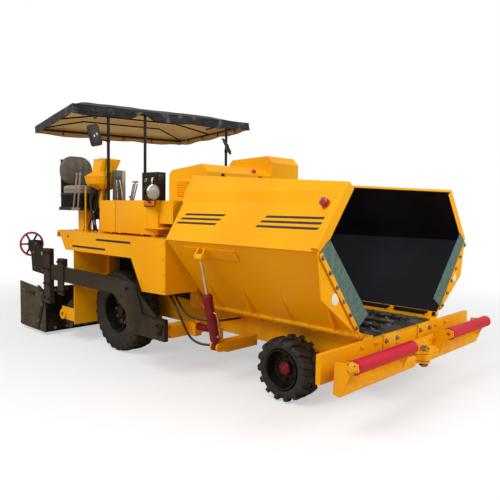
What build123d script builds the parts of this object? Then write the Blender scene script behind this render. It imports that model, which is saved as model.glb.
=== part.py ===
"""Wheeled asphalt paver, built as an assembly of separate pieces, in millimetres.

+X points forward to the hopper and the push rollers, +Y to the machine's left, +Z up.
The origin is on the ground, under the middle of the machine.
"""
import math
import os

from build123d import *

os.makedirs("parts", exist_ok=True)

# ---------------------------------------------------------------- driving dimensions
road_height = 36         # heights below are taken from a base line; the road lies this far above it
RUN_GAP = 0.3            # between faces that turn on each other
SEAT_GAP = 0.3           # between a soft or separate piece and its seat
PLATE = 10               # body panels
HEAVY_PLATE = 20         # frame webs and brackets

# frame
frame_half_width = 520   # outer face of the frame webs
frame_bottom = 400
frame_top = 655
frame_rear = -1030
shelf_half_width = 640   # hinge shelf on each web
shelf_thickness = 16
crossbeam_rear = 2505
crossbeam_depth = 40
crossbeam_half_length = 1250
crossbeam_bottom = 425
crossbeam_top = 640

# running gear
front_wheel_x = 1866
front_wheel_radius = 274
front_wheel_width = 250
front_wheel_track = 765      # wheel's middle, from the centre line
front_rim_radius = 170
kingpin_track = 565
kingpin_radius = 28
rear_wheel_x = -450
rear_wheel_radius = 454
rear_wheel_width = 310
rear_wheel_track = 865
rear_rim_radius = 225
spindle_radius = 35
axle_tube_radius = 60
front_axle_z = road_height + front_wheel_radius
rear_axle_z = road_height + rear_wheel_radius

# hopper
hopper_front = 2490
wing_length = 1755
wing_hinge_y = 664
wing_hinge_z = 672
wing_knee = (1220, 1360)
wing_top = (847, 1840)
wing_rear_top = (760, 1946)
wing_rear_top_setback = 130
wing_plate = 12
wing_rim_depth = 45
hinge_pin_radius = 12
floor_half_width = frame_half_width - HEAVY_PLATE - SEAT_GAP
floor_top = 650
slat_pitch = 150
slat_height = 12

# wing cylinder: its transverse plane, base pin and rod eye
cylinder_x = 1200
cylinder_base = (1000, 400)
cylinder_eye = (1205, 1225)
cylinder_radius = 44
rod_radius = 14
barrel_length = 490

# levelling cylinders, between a bracket on the tow bracket and a lug on the outrigger
levelling_track = 900
levelling_z = 515
levelling_start = 830
levelling_end = 1118
levelling_radius = 32

# hydraulic hoses, each from its gland under a side panel to its gland on the frame, for the left side
hose_radius = 11
gland_radius = 17
gland_depth = 60
hose_routes = {
    "upper": ((560, 985, 806), (625, 988, 748), (684, 992, 686), (752, 990, 636), (832, 978, 609), (912, 946, 597),
              (985, 893, 592), (1032, 818, 590), (1054, 735, 588), (1064, 653, 587), (1068, 572, 586)),
    "lower": ((550, 1035, 806), (621, 1040, 748), (685, 1048, 684), (740, 1046, 612), (775, 1032, 534),
              (803, 1014, 460), (852, 994, 402), (922, 964, 370), (994, 924, 364), (1056, 884, 374),
              (1100, 856, 386)),
}

# push beam
push_pivot_x = 2700
push_half_length = 1180
push_rear = 2605
push_bottom = 352
push_roller_x = 2762
push_roller_z = 580
push_roller_radius = 52
push_roller_inner = 350
push_roller_outer = 1150
push_pin_radius = 16
tongue_bottom = 400
tongue_top = 455

# body
body_half_width = 1200
body_bottom = 1137
deck_top = 1355
deck_thickness = 20
deck_rear = -1437
tread_x = (-1380, -760)
tread_y = (-480, 620)
tread_height = 5
body_front = 700
body_inner = 800             # inner wall of each side body
rear_plate_x = -1060
box_rear = -628
box_front = 366
box_chamfer = (85, 60)        # front outer corner, along x and y
box_outer = 1100
box_inner = 720
box_bottom = 1375
box_top = 1715
hood_rear = 100
hood_front = 720
hood_half_width = 700
hood_top = 2090
hood_split_y = 245
hood_split_z = 1950
tall_hood_top = 2240
hood_chamfer = 80
hood_wall = 6

# tow arms, screed and augers
arm_pivot = (680, 480)
arm_inner = 1205
arm_thickness = 45
arm_pin_radius = 25
screed_front = -1677
screed_rear = -2395
screed_bottom = 75
screed_half_width = 1250
end_gate_thickness = 14
extension_centre = (-2075, 350)      # bolt holes for screed extensions, in each end gate
extension_spacing_x = 360
extension_spacing_z = 300
extension_hole_radius = 9
tower_rear = screed_front + SEAT_GAP
tower_front = -1515
tower_bottom = 460
tower_top = 1130
tower_outer = 1262
clamp_x = (-1317, -1175)
auger_x = -1370
auger_z = 345
auger_radius = 180
auger_shaft_radius = 38
auger_inner = 130
auger_outer = 1120
auger_pitch = 200
flight_thickness = 8

# canopy and posts
canopy_hem = 2650
canopy_valance = 110
canopy_length = 2110
canopy_width = 2240
canopy_yaw = -14
canopy_x = -1519.4
canopy_skin = 8
canopy_crown = 90
post_radius = 17
tube_radius = 13
side_tube_radius = 11
bow_radius = 10

SIDES = (("right", -1), ("left", 1))


# ---------------------------------------------------------------- drawing helpers
def outline(points):
    """A face from its corner points, in the open sketch."""
    Polygon(*points, align=None)


def side_plane(y_a, y_b):
    """Plane of a plate that lies between two values of y, extruded towards -Y."""
    return Plane((0, max(y_a, y_b), 0), x_dir=(1, 0, 0), z_dir=(0, -1, 0))


def block(x_pair, y_pair, z_pair, mode=Mode.ADD):
    """A rectangular block between two values on each axis, in the open part."""
    spans = [sorted(pair) for pair in (x_pair, y_pair, z_pair)]
    middle = [(low + high) / 2 for low, high in spans]
    sizes = [high - low for low, high in spans]
    with Locations(tuple(middle)):
        Box(*sizes, mode=mode)


def bar(start, end, radius, mode=Mode.ADD):
    """A round bar from one point to another, in the open part."""
    path = Vector(*end) - Vector(*start)
    with Locations(Plane(origin=start, z_dir=path.normalized())):
        Cylinder(radius, path.length, align=(Align.CENTER, Align.CENTER, Align.MIN), mode=mode)


def gland(hose_end, hose_inner):
    """Fitting at a hose's end, on in the hose's own direction, in the open part."""
    reach = (Vector(*hose_end) - Vector(*hose_inner)).normalized() * gland_depth
    bar(hose_end, tuple(Vector(*hose_end) + reach), gland_radius)


def mirrored(point, side):
    """A point given for the left side, on the side wanted."""
    return (point[0], side * point[1], point[2])


def save(part, name):
    """Set a finished piece down on the road, label it and write its file."""
    lowered = part.part.moved(Location((0, 0, -road_height)))
    lowered.label = name
    export_step(lowered, f"parts/{name}.step")


# ---------------------------------------------------------------- main frame
hinge_lugs = [hopper_front - 60 - i * (wing_length - 130) / 4 for i in range(5)]
lug_length = 40
ear_gap = 64
ear_plate = 18

with BuildPart() as main_frame:
    # front cross-beam with its top flange, ahead of the hopper
    block((crossbeam_rear, crossbeam_rear + crossbeam_depth),
          (-crossbeam_half_length, crossbeam_half_length), (crossbeam_bottom, crossbeam_top))
    for label, side in SIDES:
        # web and hinge shelf
        block((frame_rear, crossbeam_rear), (side * frame_half_width, side * (frame_half_width - HEAVY_PLATE)),
              (frame_bottom, frame_top))
        block((body_front + 60, crossbeam_rear), (side * (frame_half_width - HEAVY_PLATE), side * shelf_half_width),
              (frame_top - shelf_thickness, frame_top))
        # hinge lugs and the pins in them
        for lug_x in hinge_lugs:
            block((lug_x - lug_length / 2, lug_x + lug_length / 2),
                  (side * (shelf_half_width - 60), side * wing_hinge_y),
                  (frame_top - shelf_thickness, wing_hinge_z + 5))
            bar((lug_x - lug_length / 2 - 50, side * wing_hinge_y, wing_hinge_z),
                (lug_x + lug_length / 2 + 50, side * wing_hinge_y, wing_hinge_z), hinge_pin_radius)
            bar((lug_x - lug_length / 2, side * wing_hinge_y, wing_hinge_z),
                (lug_x + lug_length / 2, side * wing_hinge_y, wing_hinge_z), 22)
        # outrigger and the two ears of the wing cylinder
        outrigger_end = cylinder_base[0] - 85
        block((cylinder_x - ear_gap / 2 - ear_plate, cylinder_x + ear_gap / 2 + ear_plate),
              (side * (frame_half_width - 5), side * outrigger_end), (cylinder_base[1] - 55, cylinder_base[1] + 45))
        for ear in (-1, 1):
            ear_x = cylinder_x + ear * (ear_gap / 2 + ear_plate / 2)
            with BuildSketch(Plane.YZ.offset(ear_x - ear_plate / 2)):
                with Locations((side * (cylinder_base[0] - 45), cylinder_base[1])):
                    Rectangle(90, 80)
                with Locations((side * cylinder_base[0], cylinder_base[1])):
                    Circle(40)
            extrude(amount=ear_plate)
        bar((cylinder_x - ear_gap / 2 - ear_plate, side * cylinder_base[0], cylinder_base[1]),
            (cylinder_x + ear_gap / 2 + ear_plate, side * cylinder_base[0], cylinder_base[1]), 18)
        # tow bracket with the tow arm's pin
        block((arm_pivot[0] - 60, arm_pivot[0] + 60),
              (side * (frame_half_width - 5), side * (arm_inner - 40)),
              (arm_pivot[1] - 60, arm_pivot[1] + 60))
        bar((arm_pivot[0], side * (arm_inner - 50), arm_pivot[1]),
            (arm_pivot[0], side * (arm_inner + arm_thickness), arm_pivot[1]), arm_pin_radius)
        bar((arm_pivot[0], side * (arm_inner - 41), arm_pivot[1]),
            (arm_pivot[0], side * (arm_inner - 1), arm_pivot[1]), 60)
        # bracket of the levelling cylinder, on the tow bracket's front
        block((arm_pivot[0] + 55, levelling_start), (side * (levelling_track - 40), side * (levelling_track + 40)),
              (arm_pivot[1] - 60, arm_pivot[1] + 70))
        block((levelling_end, cylinder_x - ear_gap / 2 - ear_plate + 5),
              (side * (levelling_track - 25), side * (levelling_track + 15)),
              (cylinder_base[1] - 20, levelling_z + 35))
        # fittings at the hoses' front ends
        for route in hose_routes.values():
            gland(mirrored(route[-1], side), mirrored(route[-2], side))
        # rear axle hangers
        block((rear_wheel_x - 90, rear_wheel_x + 90), (side * 440, side * 505),
              (frame_bottom - 60, frame_bottom + 200))
        # front axle seat
        block((front_wheel_x - 70, front_wheel_x + 70), (side * 420, side * 505), (380, 440))
    # cross members between the webs, and the rear closing plate under the tunnel
    for member_x in (-980, 150, 1000, 1720, 2300):
        block((member_x - 30, member_x + 30), (-505, 505), (440, 560))
    # tongue with the push beam's pin
    with BuildSketch(Plane.XY.offset(tongue_bottom)):
        outline([(crossbeam_rear + 20, -150), (push_pivot_x, -50), (push_pivot_x, 50), (crossbeam_rear + 20, 150)])
        with Locations((push_pivot_x, 0)):
            Circle(50)
    extrude(amount=tongue_top - tongue_bottom)
    block((crossbeam_rear, crossbeam_rear + 25), (-150, 150), (tongue_bottom, crossbeam_bottom + 10))
    bar((push_pivot_x, 0, tongue_bottom - 45), (push_pivot_x, 0, tongue_top + 45), push_pin_radius)
    # holes that the rear axle's tube runs through, and clear space round each barrel's eye
    bar((rear_wheel_x, -600, rear_axle_z), (rear_wheel_x, 600, rear_axle_z),
        axle_tube_radius + SEAT_GAP, mode=Mode.SUBTRACT)
save(main_frame, "main_frame")

# ---------------------------------------------------------------- hopper floor and rear wall
with BuildPart() as hopper_floor:
    block((frame_rear - 20, crossbeam_rear - 15), (-floor_half_width, floor_half_width), (floor_top - 30, floor_top))
    bar((crossbeam_rear - 60, -floor_half_width, floor_top - 45),
        (crossbeam_rear - 60, floor_half_width, floor_top - 45), 42)
    slat_count = int((crossbeam_rear - 120 - frame_rear) / slat_pitch)
    for i in range(slat_count):
        slat_x = crossbeam_rear - 130 - i * slat_pitch
        for label, side in SIDES:
            block((slat_x - 18, slat_x + 18), (side * 25, side * (floor_half_width - 25)),
                  (floor_top - 1, floor_top + slat_height))
    block((frame_rear - 20, crossbeam_rear - 120), (-14, 14), (floor_top - 1, floor_top + 24))
save(hopper_floor, "hopper_floor")

wall_gap = 24
tunnel_half_width = 470
tunnel_top = 940
wall_x = hopper_front - wing_length + 20
with BuildPart() as hopper_rear_wall:
    with BuildSketch(Plane.YZ.offset(wall_x)):
        wall = [(600, frame_top + SEAT_GAP), (wing_knee[0] - wing_plate - 2 * wall_gap, wing_knee[1] - wall_gap),
                (wing_knee[0] - wing_plate - 2 * wall_gap, wing_knee[1] + 20), (720, 1880)]
        outline(wall + [(-y, z) for y, z in reversed(wall)])
        with Locations((0, (frame_top + tunnel_top) / 2 + 10)):
            Rectangle(2 * tunnel_half_width, tunnel_top - frame_top + 20, mode=Mode.SUBTRACT)
    extrude(amount=12)
save(hopper_rear_wall, "hopper_rear_wall")

# ---------------------------------------------------------------- wings
knee = Vector(*wing_knee)
hinge = Vector(wing_hinge_y, wing_hinge_z)
lower_direction = (knee - hinge).normalized()
lower_normal = Vector(-lower_direction.Y, lower_direction.X)      # towards the load
upper_direction = (Vector(*wing_top) - knee).normalized()
upper_normal = Vector(-upper_direction.Y, upper_direction.X)      # towards the load


def in_wing(along, away, base=hinge, direction=lower_direction, normal=lower_normal):
    """A point of the wing's section, along a panel and away from it to the load side."""
    point = base + direction * along + normal * away
    return (point.X, point.Y)


lower_length = (knee - hinge).length
upper_length = (Vector(*wing_top) - knee).length
rear_upper_length = (Vector(*wing_rear_top) - knee).length
wing_rear = hopper_front - wing_length
gusset_table = (      # x, depth
    (hopper_front - wing_length + 215, 60),
    (hopper_front - 1090, 60),
    (hopper_front - 657, 30),
    (hopper_front - 178, 60),
)
tube_gap = 3
stiffener_low = 528          # lower edge of the top stiffener, from the knee up the panel
stiffener_slope = 96
stiffener_proud = 36
front_stiffener = 64
strip_rear = wing_length + wing_rear_top_setback * stiffener_low / rear_upper_length
pad_rear = cylinder_x - 255
pad_length = 655
pad_thickness = 12

for label, side in SIDES:
    with BuildPart() as wing:
        # lower panel
        with BuildSketch(Plane.YZ.offset(wing_rear)):
            outline([(side * y, z) for y, z in (in_wing(24, 0), in_wing(lower_length, 0),
                                                in_wing(lower_length, wing_plate), in_wing(24, wing_plate))])
        extrude(amount=wing_length)
        # upper panel: its top edge falls to the front, its rear edge leans back
        panel_plane = Plane(origin=(hopper_front, side * knee.X, knee.Y), x_dir=(-1, 0, 0),
                            z_dir=(0, side * upper_normal.X, upper_normal.Y))
        up = 1 if panel_plane.y_dir.Z > 0 else -1
        panel = [(0, -6), (wing_length, -6),
                 (wing_length + wing_rear_top_setback, rear_upper_length), (0, upper_length)]
        with BuildSketch(panel_plane):
            outline([(x, up * y) for x, y in panel])
        extrude(amount=wing_plate)
        # folded rims at the front, along the top and at the rear of the upper panel
        with BuildSketch(panel_plane):
            outline([(x, up * y) for x, y in ((0, 0), (14, 0), (14, upper_length), (0, upper_length))])
            outline([(x, up * y) for x, y in (
                (wing_length - 14, 0), (wing_length, 0),
                (wing_length + wing_rear_top_setback, rear_upper_length),
                (wing_length + wing_rear_top_setback - 14, rear_upper_length))])
        extrude(amount=wing_rim_depth)
        # hat-section stiffeners outside: a level one along the top, with a sloping lower side, and one at the front
        with BuildSketch(panel_plane):
            outline([(x, up * y) for x, y in (
                (0, stiffener_low), (strip_rear, stiffener_low),
                (wing_length + wing_rear_top_setback, rear_upper_length), (0, upper_length))])
            outline([(x, up * y) for x, y in (
                (0, 0), (front_stiffener, 0), (front_stiffener, upper_length), (0, upper_length))])
        extrude(amount=-stiffener_proud)
        with BuildSketch(Plane.YZ.offset(hopper_front - strip_rear)):
            outline([(side * y, z) for y, z in (
                in_wing(stiffener_low - stiffener_slope, 0, knee, upper_direction, upper_normal),
                in_wing(stiffener_low, -stiffener_proud, knee, upper_direction, upper_normal),
                in_wing(stiffener_low, 1, knee, upper_direction, upper_normal))])
        extrude(amount=strip_rear - 5)
        # deep end plate at the front of the lower panel
        with BuildSketch(Plane.YZ.offset(hopper_front - PLATE)):
            outline([(side * y, z) for y, z in (
                (735, 700), (1178, 1007), (1236, 1344), in_wing(lower_length, 2), in_wing(60, 2))])
        extrude(amount=PLATE)
        # gussets under the lower panel
        for gusset_x, depth in gusset_table:
            with BuildSketch(Plane.YZ.offset(gusset_x - 6)):
                outline([(side * y, z) for y, z in (
                    in_wing(45, 2), in_wing(80, -depth), in_wing(380, 2))])
            extrude(amount=12)
        # pad and clevis ears for the cylinder's rod eye
        eye = Vector(*cylinder_eye) - hinge
        eye_along = eye.dot(lower_direction)
        with BuildSketch(Plane.YZ.offset(pad_rear)):
            outline([(side * y, z) for y, z in (
                in_wing(eye_along - 60, 2), in_wing(eye_along - 60, -pad_thickness),
                in_wing(lower_length - 70, -pad_thickness), in_wing(lower_length - 70, 2))])
        extrude(amount=pad_length)
        for ear in (-1, 1):
            ear_x = cylinder_x + ear * (ear_gap / 2 + ear_plate / 2)
            with BuildSketch(Plane.YZ.offset(ear_x - ear_plate / 2)):
                outline([(side * y, z) for y, z in (
                    in_wing(eye_along - 55, 0), in_wing(eye_along - 30, eye.dot(lower_normal)),
                    in_wing(eye_along + 30, eye.dot(lower_normal)), in_wing(eye_along + 55, 0))])
                with Locations((side * cylinder_eye[0], cylinder_eye[1])):
                    Circle(32)
            extrude(amount=ear_plate)
            bar((ear_x - ear_plate / 2 - (8 if ear < 0 else 0), side * cylinder_eye[0], cylinder_eye[1]),
                (ear_x + ear_plate / 2 + (8 if ear > 0 else 0), side * cylinder_eye[0], cylinder_eye[1]), 18)
        # hinge tubes between the frame's lugs
        tube_ends = sorted([hopper_front - 2] + [x for lug in hinge_lugs for x in (
            lug - lug_length / 2 - tube_gap, lug + lug_length / 2 + tube_gap)] + [wing_rear + 2])
        for tube_start, tube_end in zip(tube_ends[0::2], tube_ends[1::2]):
            bar((tube_start, side * wing_hinge_y, wing_hinge_z), (tube_end, side * wing_hinge_y, wing_hinge_z), 24)
            with BuildSketch(Plane.YZ.offset(tube_start)):
                outline([(side * y, z) for y, z in (
                    in_wing(10, 0), in_wing(30, 0), in_wing(30, wing_plate), in_wing(10, wing_plate))])
            extrude(amount=tube_end - tube_start)
        for lug_x in hinge_lugs:
            bar((lug_x - lug_length / 2 - 50 - RUN_GAP, side * wing_hinge_y, wing_hinge_z),
                (lug_x + lug_length / 2 + 50 + RUN_GAP, side * wing_hinge_y, wing_hinge_z),
                hinge_pin_radius + RUN_GAP, mode=Mode.SUBTRACT)
    save(wing, f"wing_{label}")

    # rubber flap and its clamp bar on the wing's front edge
    with BuildPart() as wing_flap:
        with BuildSketch(Plane.YZ.offset(hopper_front + SEAT_GAP)):
            outline([(side * y, z) for y, z in (
                in_wing(90, -8), in_wing(lower_length - 6, -4), (1110, 1440), (575, 835))])
        extrude(amount=8)
    save(wing_flap, f"wing_flap_{label}")

# ---------------------------------------------------------------- wing cylinders
base = Vector(*cylinder_base)
eye_point = Vector(*cylinder_eye)
stroke_direction = (eye_point - base).normalized()
cylinder_length = (eye_point - base).length
eye_width = ear_gap - 4
gland_length = 40
neck_radius = 24
barrel_start = 64
barrel_wall = 9

for label, side in SIDES:
    cylinder_plane = Plane(origin=(cylinder_x, side * base.X, base.Y), x_dir=(1, 0, 0),
                           z_dir=(0, side * stroke_direction.X, stroke_direction.Y))
    with BuildPart() as barrel:
        with BuildSketch(cylinder_plane):
            Circle(neck_radius)
        extrude(amount=barrel_start)
        with BuildSketch(cylinder_plane.offset(barrel_start)):
            Circle(cylinder_radius)
        extrude(amount=barrel_length - barrel_start)
        with BuildSketch(cylinder_plane.offset(barrel_length - 36)):
            Circle(cylinder_radius + 6)
        extrude(amount=36)
        bar((cylinder_x - eye_width / 2, side * base.X, base.Y),
            (cylinder_x + eye_width / 2, side * base.X, base.Y), 36)
        with BuildSketch(cylinder_plane.offset(barrel_start + 14)):
            Circle(cylinder_radius - barrel_wall)
        extrude(amount=barrel_length, mode=Mode.SUBTRACT)
        with BuildSketch(cylinder_plane.offset(barrel_length - gland_length)):
            Circle(cylinder_radius)
            Circle(rod_radius + RUN_GAP, mode=Mode.SUBTRACT)
        extrude(amount=gland_length)
        bar((cylinder_x - eye_width / 2 - 2, side * base.X, base.Y),
            (cylinder_x + eye_width / 2 + 2, side * base.X, base.Y), 18 + RUN_GAP, mode=Mode.SUBTRACT)
    save(barrel, f"wing_cylinder_barrel_{label}")

    with BuildPart() as rod:
        with BuildSketch(cylinder_plane.offset(barrel_length - gland_length - 24)):
            Circle(rod_radius)
        extrude(amount=cylinder_length - barrel_length + gland_length + 24 - 20)
        with BuildSketch(cylinder_plane.offset(barrel_length - gland_length - 24)):
            Circle(cylinder_radius - barrel_wall - RUN_GAP)
        extrude(amount=20)
        bar((cylinder_x - eye_width / 2, side * eye_point.X, eye_point.Y),
            (cylinder_x + eye_width / 2, side * eye_point.X, eye_point.Y), 30)
    save(rod, f"wing_cylinder_rod_{label}")

# ---------------------------------------------------------------- running gear
axle_z = front_axle_z
yoke_radius = 52
yoke_plate = 22
knuckle_height = 90
with BuildPart() as front_axle:
    block((front_wheel_x - 45, front_wheel_x + 45), (-460, 460), (axle_z - 50, axle_z + 50))
    for label, side in SIDES:
        for yoke_z in (axle_z - knuckle_height / 2 - yoke_plate, axle_z + knuckle_height / 2):
            with BuildSketch(Plane.XY.offset(yoke_z)):
                with Locations((front_wheel_x, side * (kingpin_track - 60))):
                    Rectangle(2 * yoke_radius, 120)
                with Locations((front_wheel_x, side * kingpin_track)):
                    Circle(yoke_radius)
            extrude(amount=yoke_plate)
        block((front_wheel_x - 45, front_wheel_x + 45), (side * 440, side * 470),
              (axle_z - knuckle_height / 2 - yoke_plate, axle_z + knuckle_height / 2 + yoke_plate))
        bar((front_wheel_x, side * kingpin_track, axle_z - knuckle_height / 2 - yoke_plate - 10),
            (front_wheel_x, side * kingpin_track, axle_z + knuckle_height / 2 + yoke_plate + 10), kingpin_radius)
    block((front_wheel_x - 60, front_wheel_x + 60), (-60, 60), (axle_z + 40, 440 - SEAT_GAP))
    block((front_wheel_x - 60, front_wheel_x + 60), (-500, -430), (axle_z + 40, 380 - SEAT_GAP))
    block((front_wheel_x - 60, front_wheel_x + 60), (430, 500), (axle_z + 40, 380 - SEAT_GAP))
save(front_axle, "front_axle")

hub_length = 130
for label, side in SIDES:
    with BuildPart() as knuckle:
        with BuildSketch(Plane.XY.offset(axle_z - knuckle_height / 2 + 1)):
            with Locations((front_wheel_x, side * kingpin_track)):
                Circle(46)
        extrude(amount=knuckle_height - 2)
        bar((front_wheel_x, side * (kingpin_track + 30), axle_z),
            (front_wheel_x, side * (front_wheel_track + 20), axle_z), spindle_radius)
        # steering arm to the rear
        with BuildSketch(Plane.XY.offset(axle_z - 12)):
            with Locations((front_wheel_x - 75, side * (kingpin_track - 20))):
                Rectangle(110, 36)
            with Locations((front_wheel_x - 130, side * (kingpin_track - 20))):
                Circle(24)
        extrude(amount=24)
        bar((front_wheel_x, side * kingpin_track, axle_z - 80), (front_wheel_x, side * kingpin_track, axle_z + 80),
            kingpin_radius + RUN_GAP, mode=Mode.SUBTRACT)
    save(knuckle, f"steering_knuckle_{label}")

# wheel table: name, axle's x and z, radius, width, track, rim radius, dish depth, inner face
wheel_table = (
    ("front", front_wheel_x, front_axle_z, front_wheel_radius, front_wheel_width, front_wheel_track,
     front_rim_radius, 90, 62),
    ("rear", rear_wheel_x, rear_axle_z, rear_wheel_radius, rear_wheel_width, rear_wheel_track,
     rear_rim_radius, 120, 95),
)
for wheel_name, wheel_x, wheel_z, radius, width, track, rim_radius, dish, hub_radius in wheel_table:
    shoulder = 0.08 * radius
    half = width / 2
    for label, side in SIDES:
        section_plane = Plane(origin=(wheel_x, side * track, wheel_z), x_dir=(0, side, 0), z_dir=(side, 0, 0))
        turn = Axis(origin=(wheel_x, side * track, wheel_z), direction=(0, 1, 0))
        with BuildPart() as tyre:
            with BuildSketch(section_plane):
                outline([(-half, rim_radius + SEAT_GAP), (half, rim_radius + SEAT_GAP),
                         (half, radius - shoulder), (half - shoulder, radius),
                         (-half + shoulder, radius), (-half, radius - shoulder)])
            revolve(axis=turn)
        save(tyre, f"{wheel_name}_tyre_{label}")

        bore = spindle_radius + RUN_GAP
        with BuildPart() as rim:
            with BuildSketch(section_plane):
                # barrel of the rim, disc behind the dish, and the hub
                outline([(-half + 12, rim_radius - 14), (half - 12, rim_radius - 14), (half - 4, rim_radius),
                         (-half + 4, rim_radius)])
                disc = half - dish
                outline([(disc - 16, bore), (disc, bore), (disc, rim_radius - 10), (disc - 16, rim_radius - 10)])
                outline([(disc - hub_length + 20, bore), (disc + 18, bore), (disc + 18, hub_radius),
                         (disc - hub_length + 20, hub_radius)])
                outline([(disc + 10, 0), (disc + 26, 0), (disc + 26, hub_radius - 6), (disc + 10, hub_radius - 6)])
            revolve(axis=turn)
        save(rim, f"{wheel_name}_rim_{label}")

with BuildPart() as rear_axle:
    axle_inner = rear_wheel_track + rear_wheel_width / 2 - 120 - hub_length + 20
    bar((rear_wheel_x, -axle_inner + 3, rear_axle_z), (rear_wheel_x, axle_inner - 3, rear_axle_z),
        axle_tube_radius)
    bar((rear_wheel_x, -axle_inner - 112, rear_axle_z), (rear_wheel_x, axle_inner + 112, rear_axle_z),
        spindle_radius)
    block((rear_wheel_x - 130, rear_wheel_x + 130), (-130, 130), (rear_axle_z - 130, 600))
    # wheel motors' flanges
    for label, side in SIDES:
        bar((rear_wheel_x, side * 525, rear_axle_z), (rear_wheel_x, side * 575, rear_axle_z), 105)
save(rear_axle, "rear_axle")

# ---------------------------------------------------------------- push beam and rollers
push_web = 16
roller_bracket = 18
roller_pin_radius = 14
with BuildPart() as push_beam:
    block((push_rear + 10, push_rear + 10 + push_web), (-push_half_length, push_half_length), (push_bottom + 8, 560))
    # lower shelf, front lip and sloping ledge, as one folded section, left and right of the pin
    for label, side in SIDES:
        with BuildSketch(side_plane(side * push_half_length, side * 110)):
            outline([(push_rear + 10, push_bottom + 8), (push_rear + 60, push_bottom), (2680, push_bottom + 10),
                     (2690, push_bottom + 80), (2640, push_bottom + 120), (push_rear + 20, push_bottom + 120)])
            outline([(push_rear + 26, push_bottom + 22), (push_rear + 62, push_bottom + 14),
                     (2668, push_bottom + 22), (2676, push_bottom + 74), (2634, push_bottom + 106),
                     (push_rear + 26, push_bottom + 106)])
        extrude(amount=push_half_length - 110)
        # end plates that carry each roller, outer and inner
        for plate_y in (push_half_length - roller_bracket, push_roller_inner - 30):
            with BuildSketch(side_plane(side * plate_y, side * (plate_y + roller_bracket))):
                outline([(push_rear, 362), (push_rear + 40, push_bottom), (2672, push_bottom + 6), (2700, 430),
                         (2740, 520), (2808, 560), (2800, 610), (2745, 622), (2700, 600), (push_rear + 10, 592)])
            extrude(amount=roller_bracket)
        bar((push_roller_x, side * (push_roller_inner - 31), push_roller_z),
            (push_roller_x, side * (push_half_length + 1), push_roller_z), roller_pin_radius + RUN_GAP,
            mode=Mode.SUBTRACT)
    # window in the web for the frame's tongue, with an ear above and below it
    block((push_rear, push_rear + 60), (-190, 190), (tongue_bottom - 14, tongue_top + 14), mode=Mode.SUBTRACT)
    for ear_z in (tongue_bottom - 5 - ear_plate, tongue_top + 5):
        with BuildSketch(Plane.XY.offset(ear_z)):
            outline([(push_rear + 10, -140), (push_pivot_x, -50), (push_pivot_x, 50), (push_rear + 10, 140)])
            with Locations((push_pivot_x, 0)):
                Circle(50)
        extrude(amount=ear_plate)
    bar((push_pivot_x, 0, tongue_bottom - 60), (push_pivot_x, 0, tongue_top + 60), push_pin_radius + RUN_GAP,
        mode=Mode.SUBTRACT)
save(push_beam, "push_beam")

for label, side in SIDES:
    with BuildPart() as roller:
        ends = sorted((side * push_roller_inner, side * push_roller_outer))
        bar((push_roller_x, ends[0], push_roller_z), (push_roller_x, ends[1], push_roller_z), push_roller_radius)
        bar((push_roller_x, ends[0] - 28, push_roller_z), (push_roller_x, ends[1] + 28, push_roller_z),
            roller_pin_radius)
    save(roller, f"push_roller_{label}")

# ---------------------------------------------------------------- body
with BuildPart() as side_panels:
    for label, side in SIDES:
        with BuildSketch(side_plane(side * body_inner, side * body_half_width)):
            outline([(-1375, deck_top - deck_thickness - SEAT_GAP), (-1235, body_bottom), (133, body_bottom),
                     (322, 822), (body_front, 830), (body_front, deck_top - deck_thickness - SEAT_GAP)])
        extrude(amount=body_half_width - body_inner)
        # fittings at the hoses' rear ends
        for route in hose_routes.values():
            gland(mirrored(route[0], side), mirrored(route[1], side))
save(side_panels, "side_panels")

with BuildPart() as deck:
    block((deck_rear, body_front), (-body_half_width, body_half_width), (deck_top - deck_thickness, deck_top))
    # raised tread plate behind the hood
    block(tread_x, tread_y, (deck_top, deck_top + tread_height))
    # folded rear edge
    block((deck_rear, deck_rear + 12), (-body_half_width, body_half_width), (deck_top - 75, deck_top - 5))
    # beams that carry the deck on the frame's webs, behind and ahead of the rear axle
    for beam_x in (-1000, 600):
        for label, side in SIDES:
            block((beam_x - 40, beam_x + 40), (side * 500, side * 780), (frame_top + SEAT_GAP, 700))
            block((beam_x - 40, beam_x + 40), (side * 700, side * 780), (frame_top + 5, deck_top - 10))
    for beam_x in (-1000, 600):
        block((beam_x - 40, beam_x + 40), (-780, 780), (1260, deck_top - 10))
    # opening over the engine
    block((hood_rear + 30, hood_front - 50), (-600, 600), (1200, deck_top + 1), mode=Mode.SUBTRACT)
save(deck, "deck")

with BuildPart() as rear_plate:
    block((rear_plate_x, rear_plate_x + 14), (-1190, 1190), (270, body_bottom - SEAT_GAP))
    block((rear_plate_x, rear_plate_x + 14), (-tunnel_half_width - 30, tunnel_half_width + 30), (400, tunnel_top),
          mode=Mode.SUBTRACT)
    for label, side in SIDES:
        # bearing hanger at the outer end of each auger
        block((auger_x - 60, rear_plate_x + 2), (side * (auger_outer + 16), side * (auger_outer + 30)),
              (auger_z - 60, auger_z + 90))
        bar((auger_x, side * (auger_outer + 16), auger_z), (auger_x, side * (auger_outer + 60), auger_z), 60)
        bar((auger_x, side * (auger_outer + 10), auger_z), (auger_x, side * (auger_outer + 61), auger_z),
            auger_shaft_radius - 8 + RUN_GAP, mode=Mode.SUBTRACT)
    # central drive case of the augers on its bracket
    block((auger_x - 110, auger_x + 110), (-110, 110), (auger_z - 90, auger_z + 230))
    block((auger_x + 100, rear_plate_x + 5), (-60, 60), (405, 560))
    block((rear_plate_x - 40, rear_plate_x + 14), (-540, 540), (405, 470))
    bar((auger_x, -111, auger_z), (auger_x, 111, auger_z), auger_shaft_radius - 8 + RUN_GAP, mode=Mode.SUBTRACT)
save(rear_plate, "rear_plate")

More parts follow.
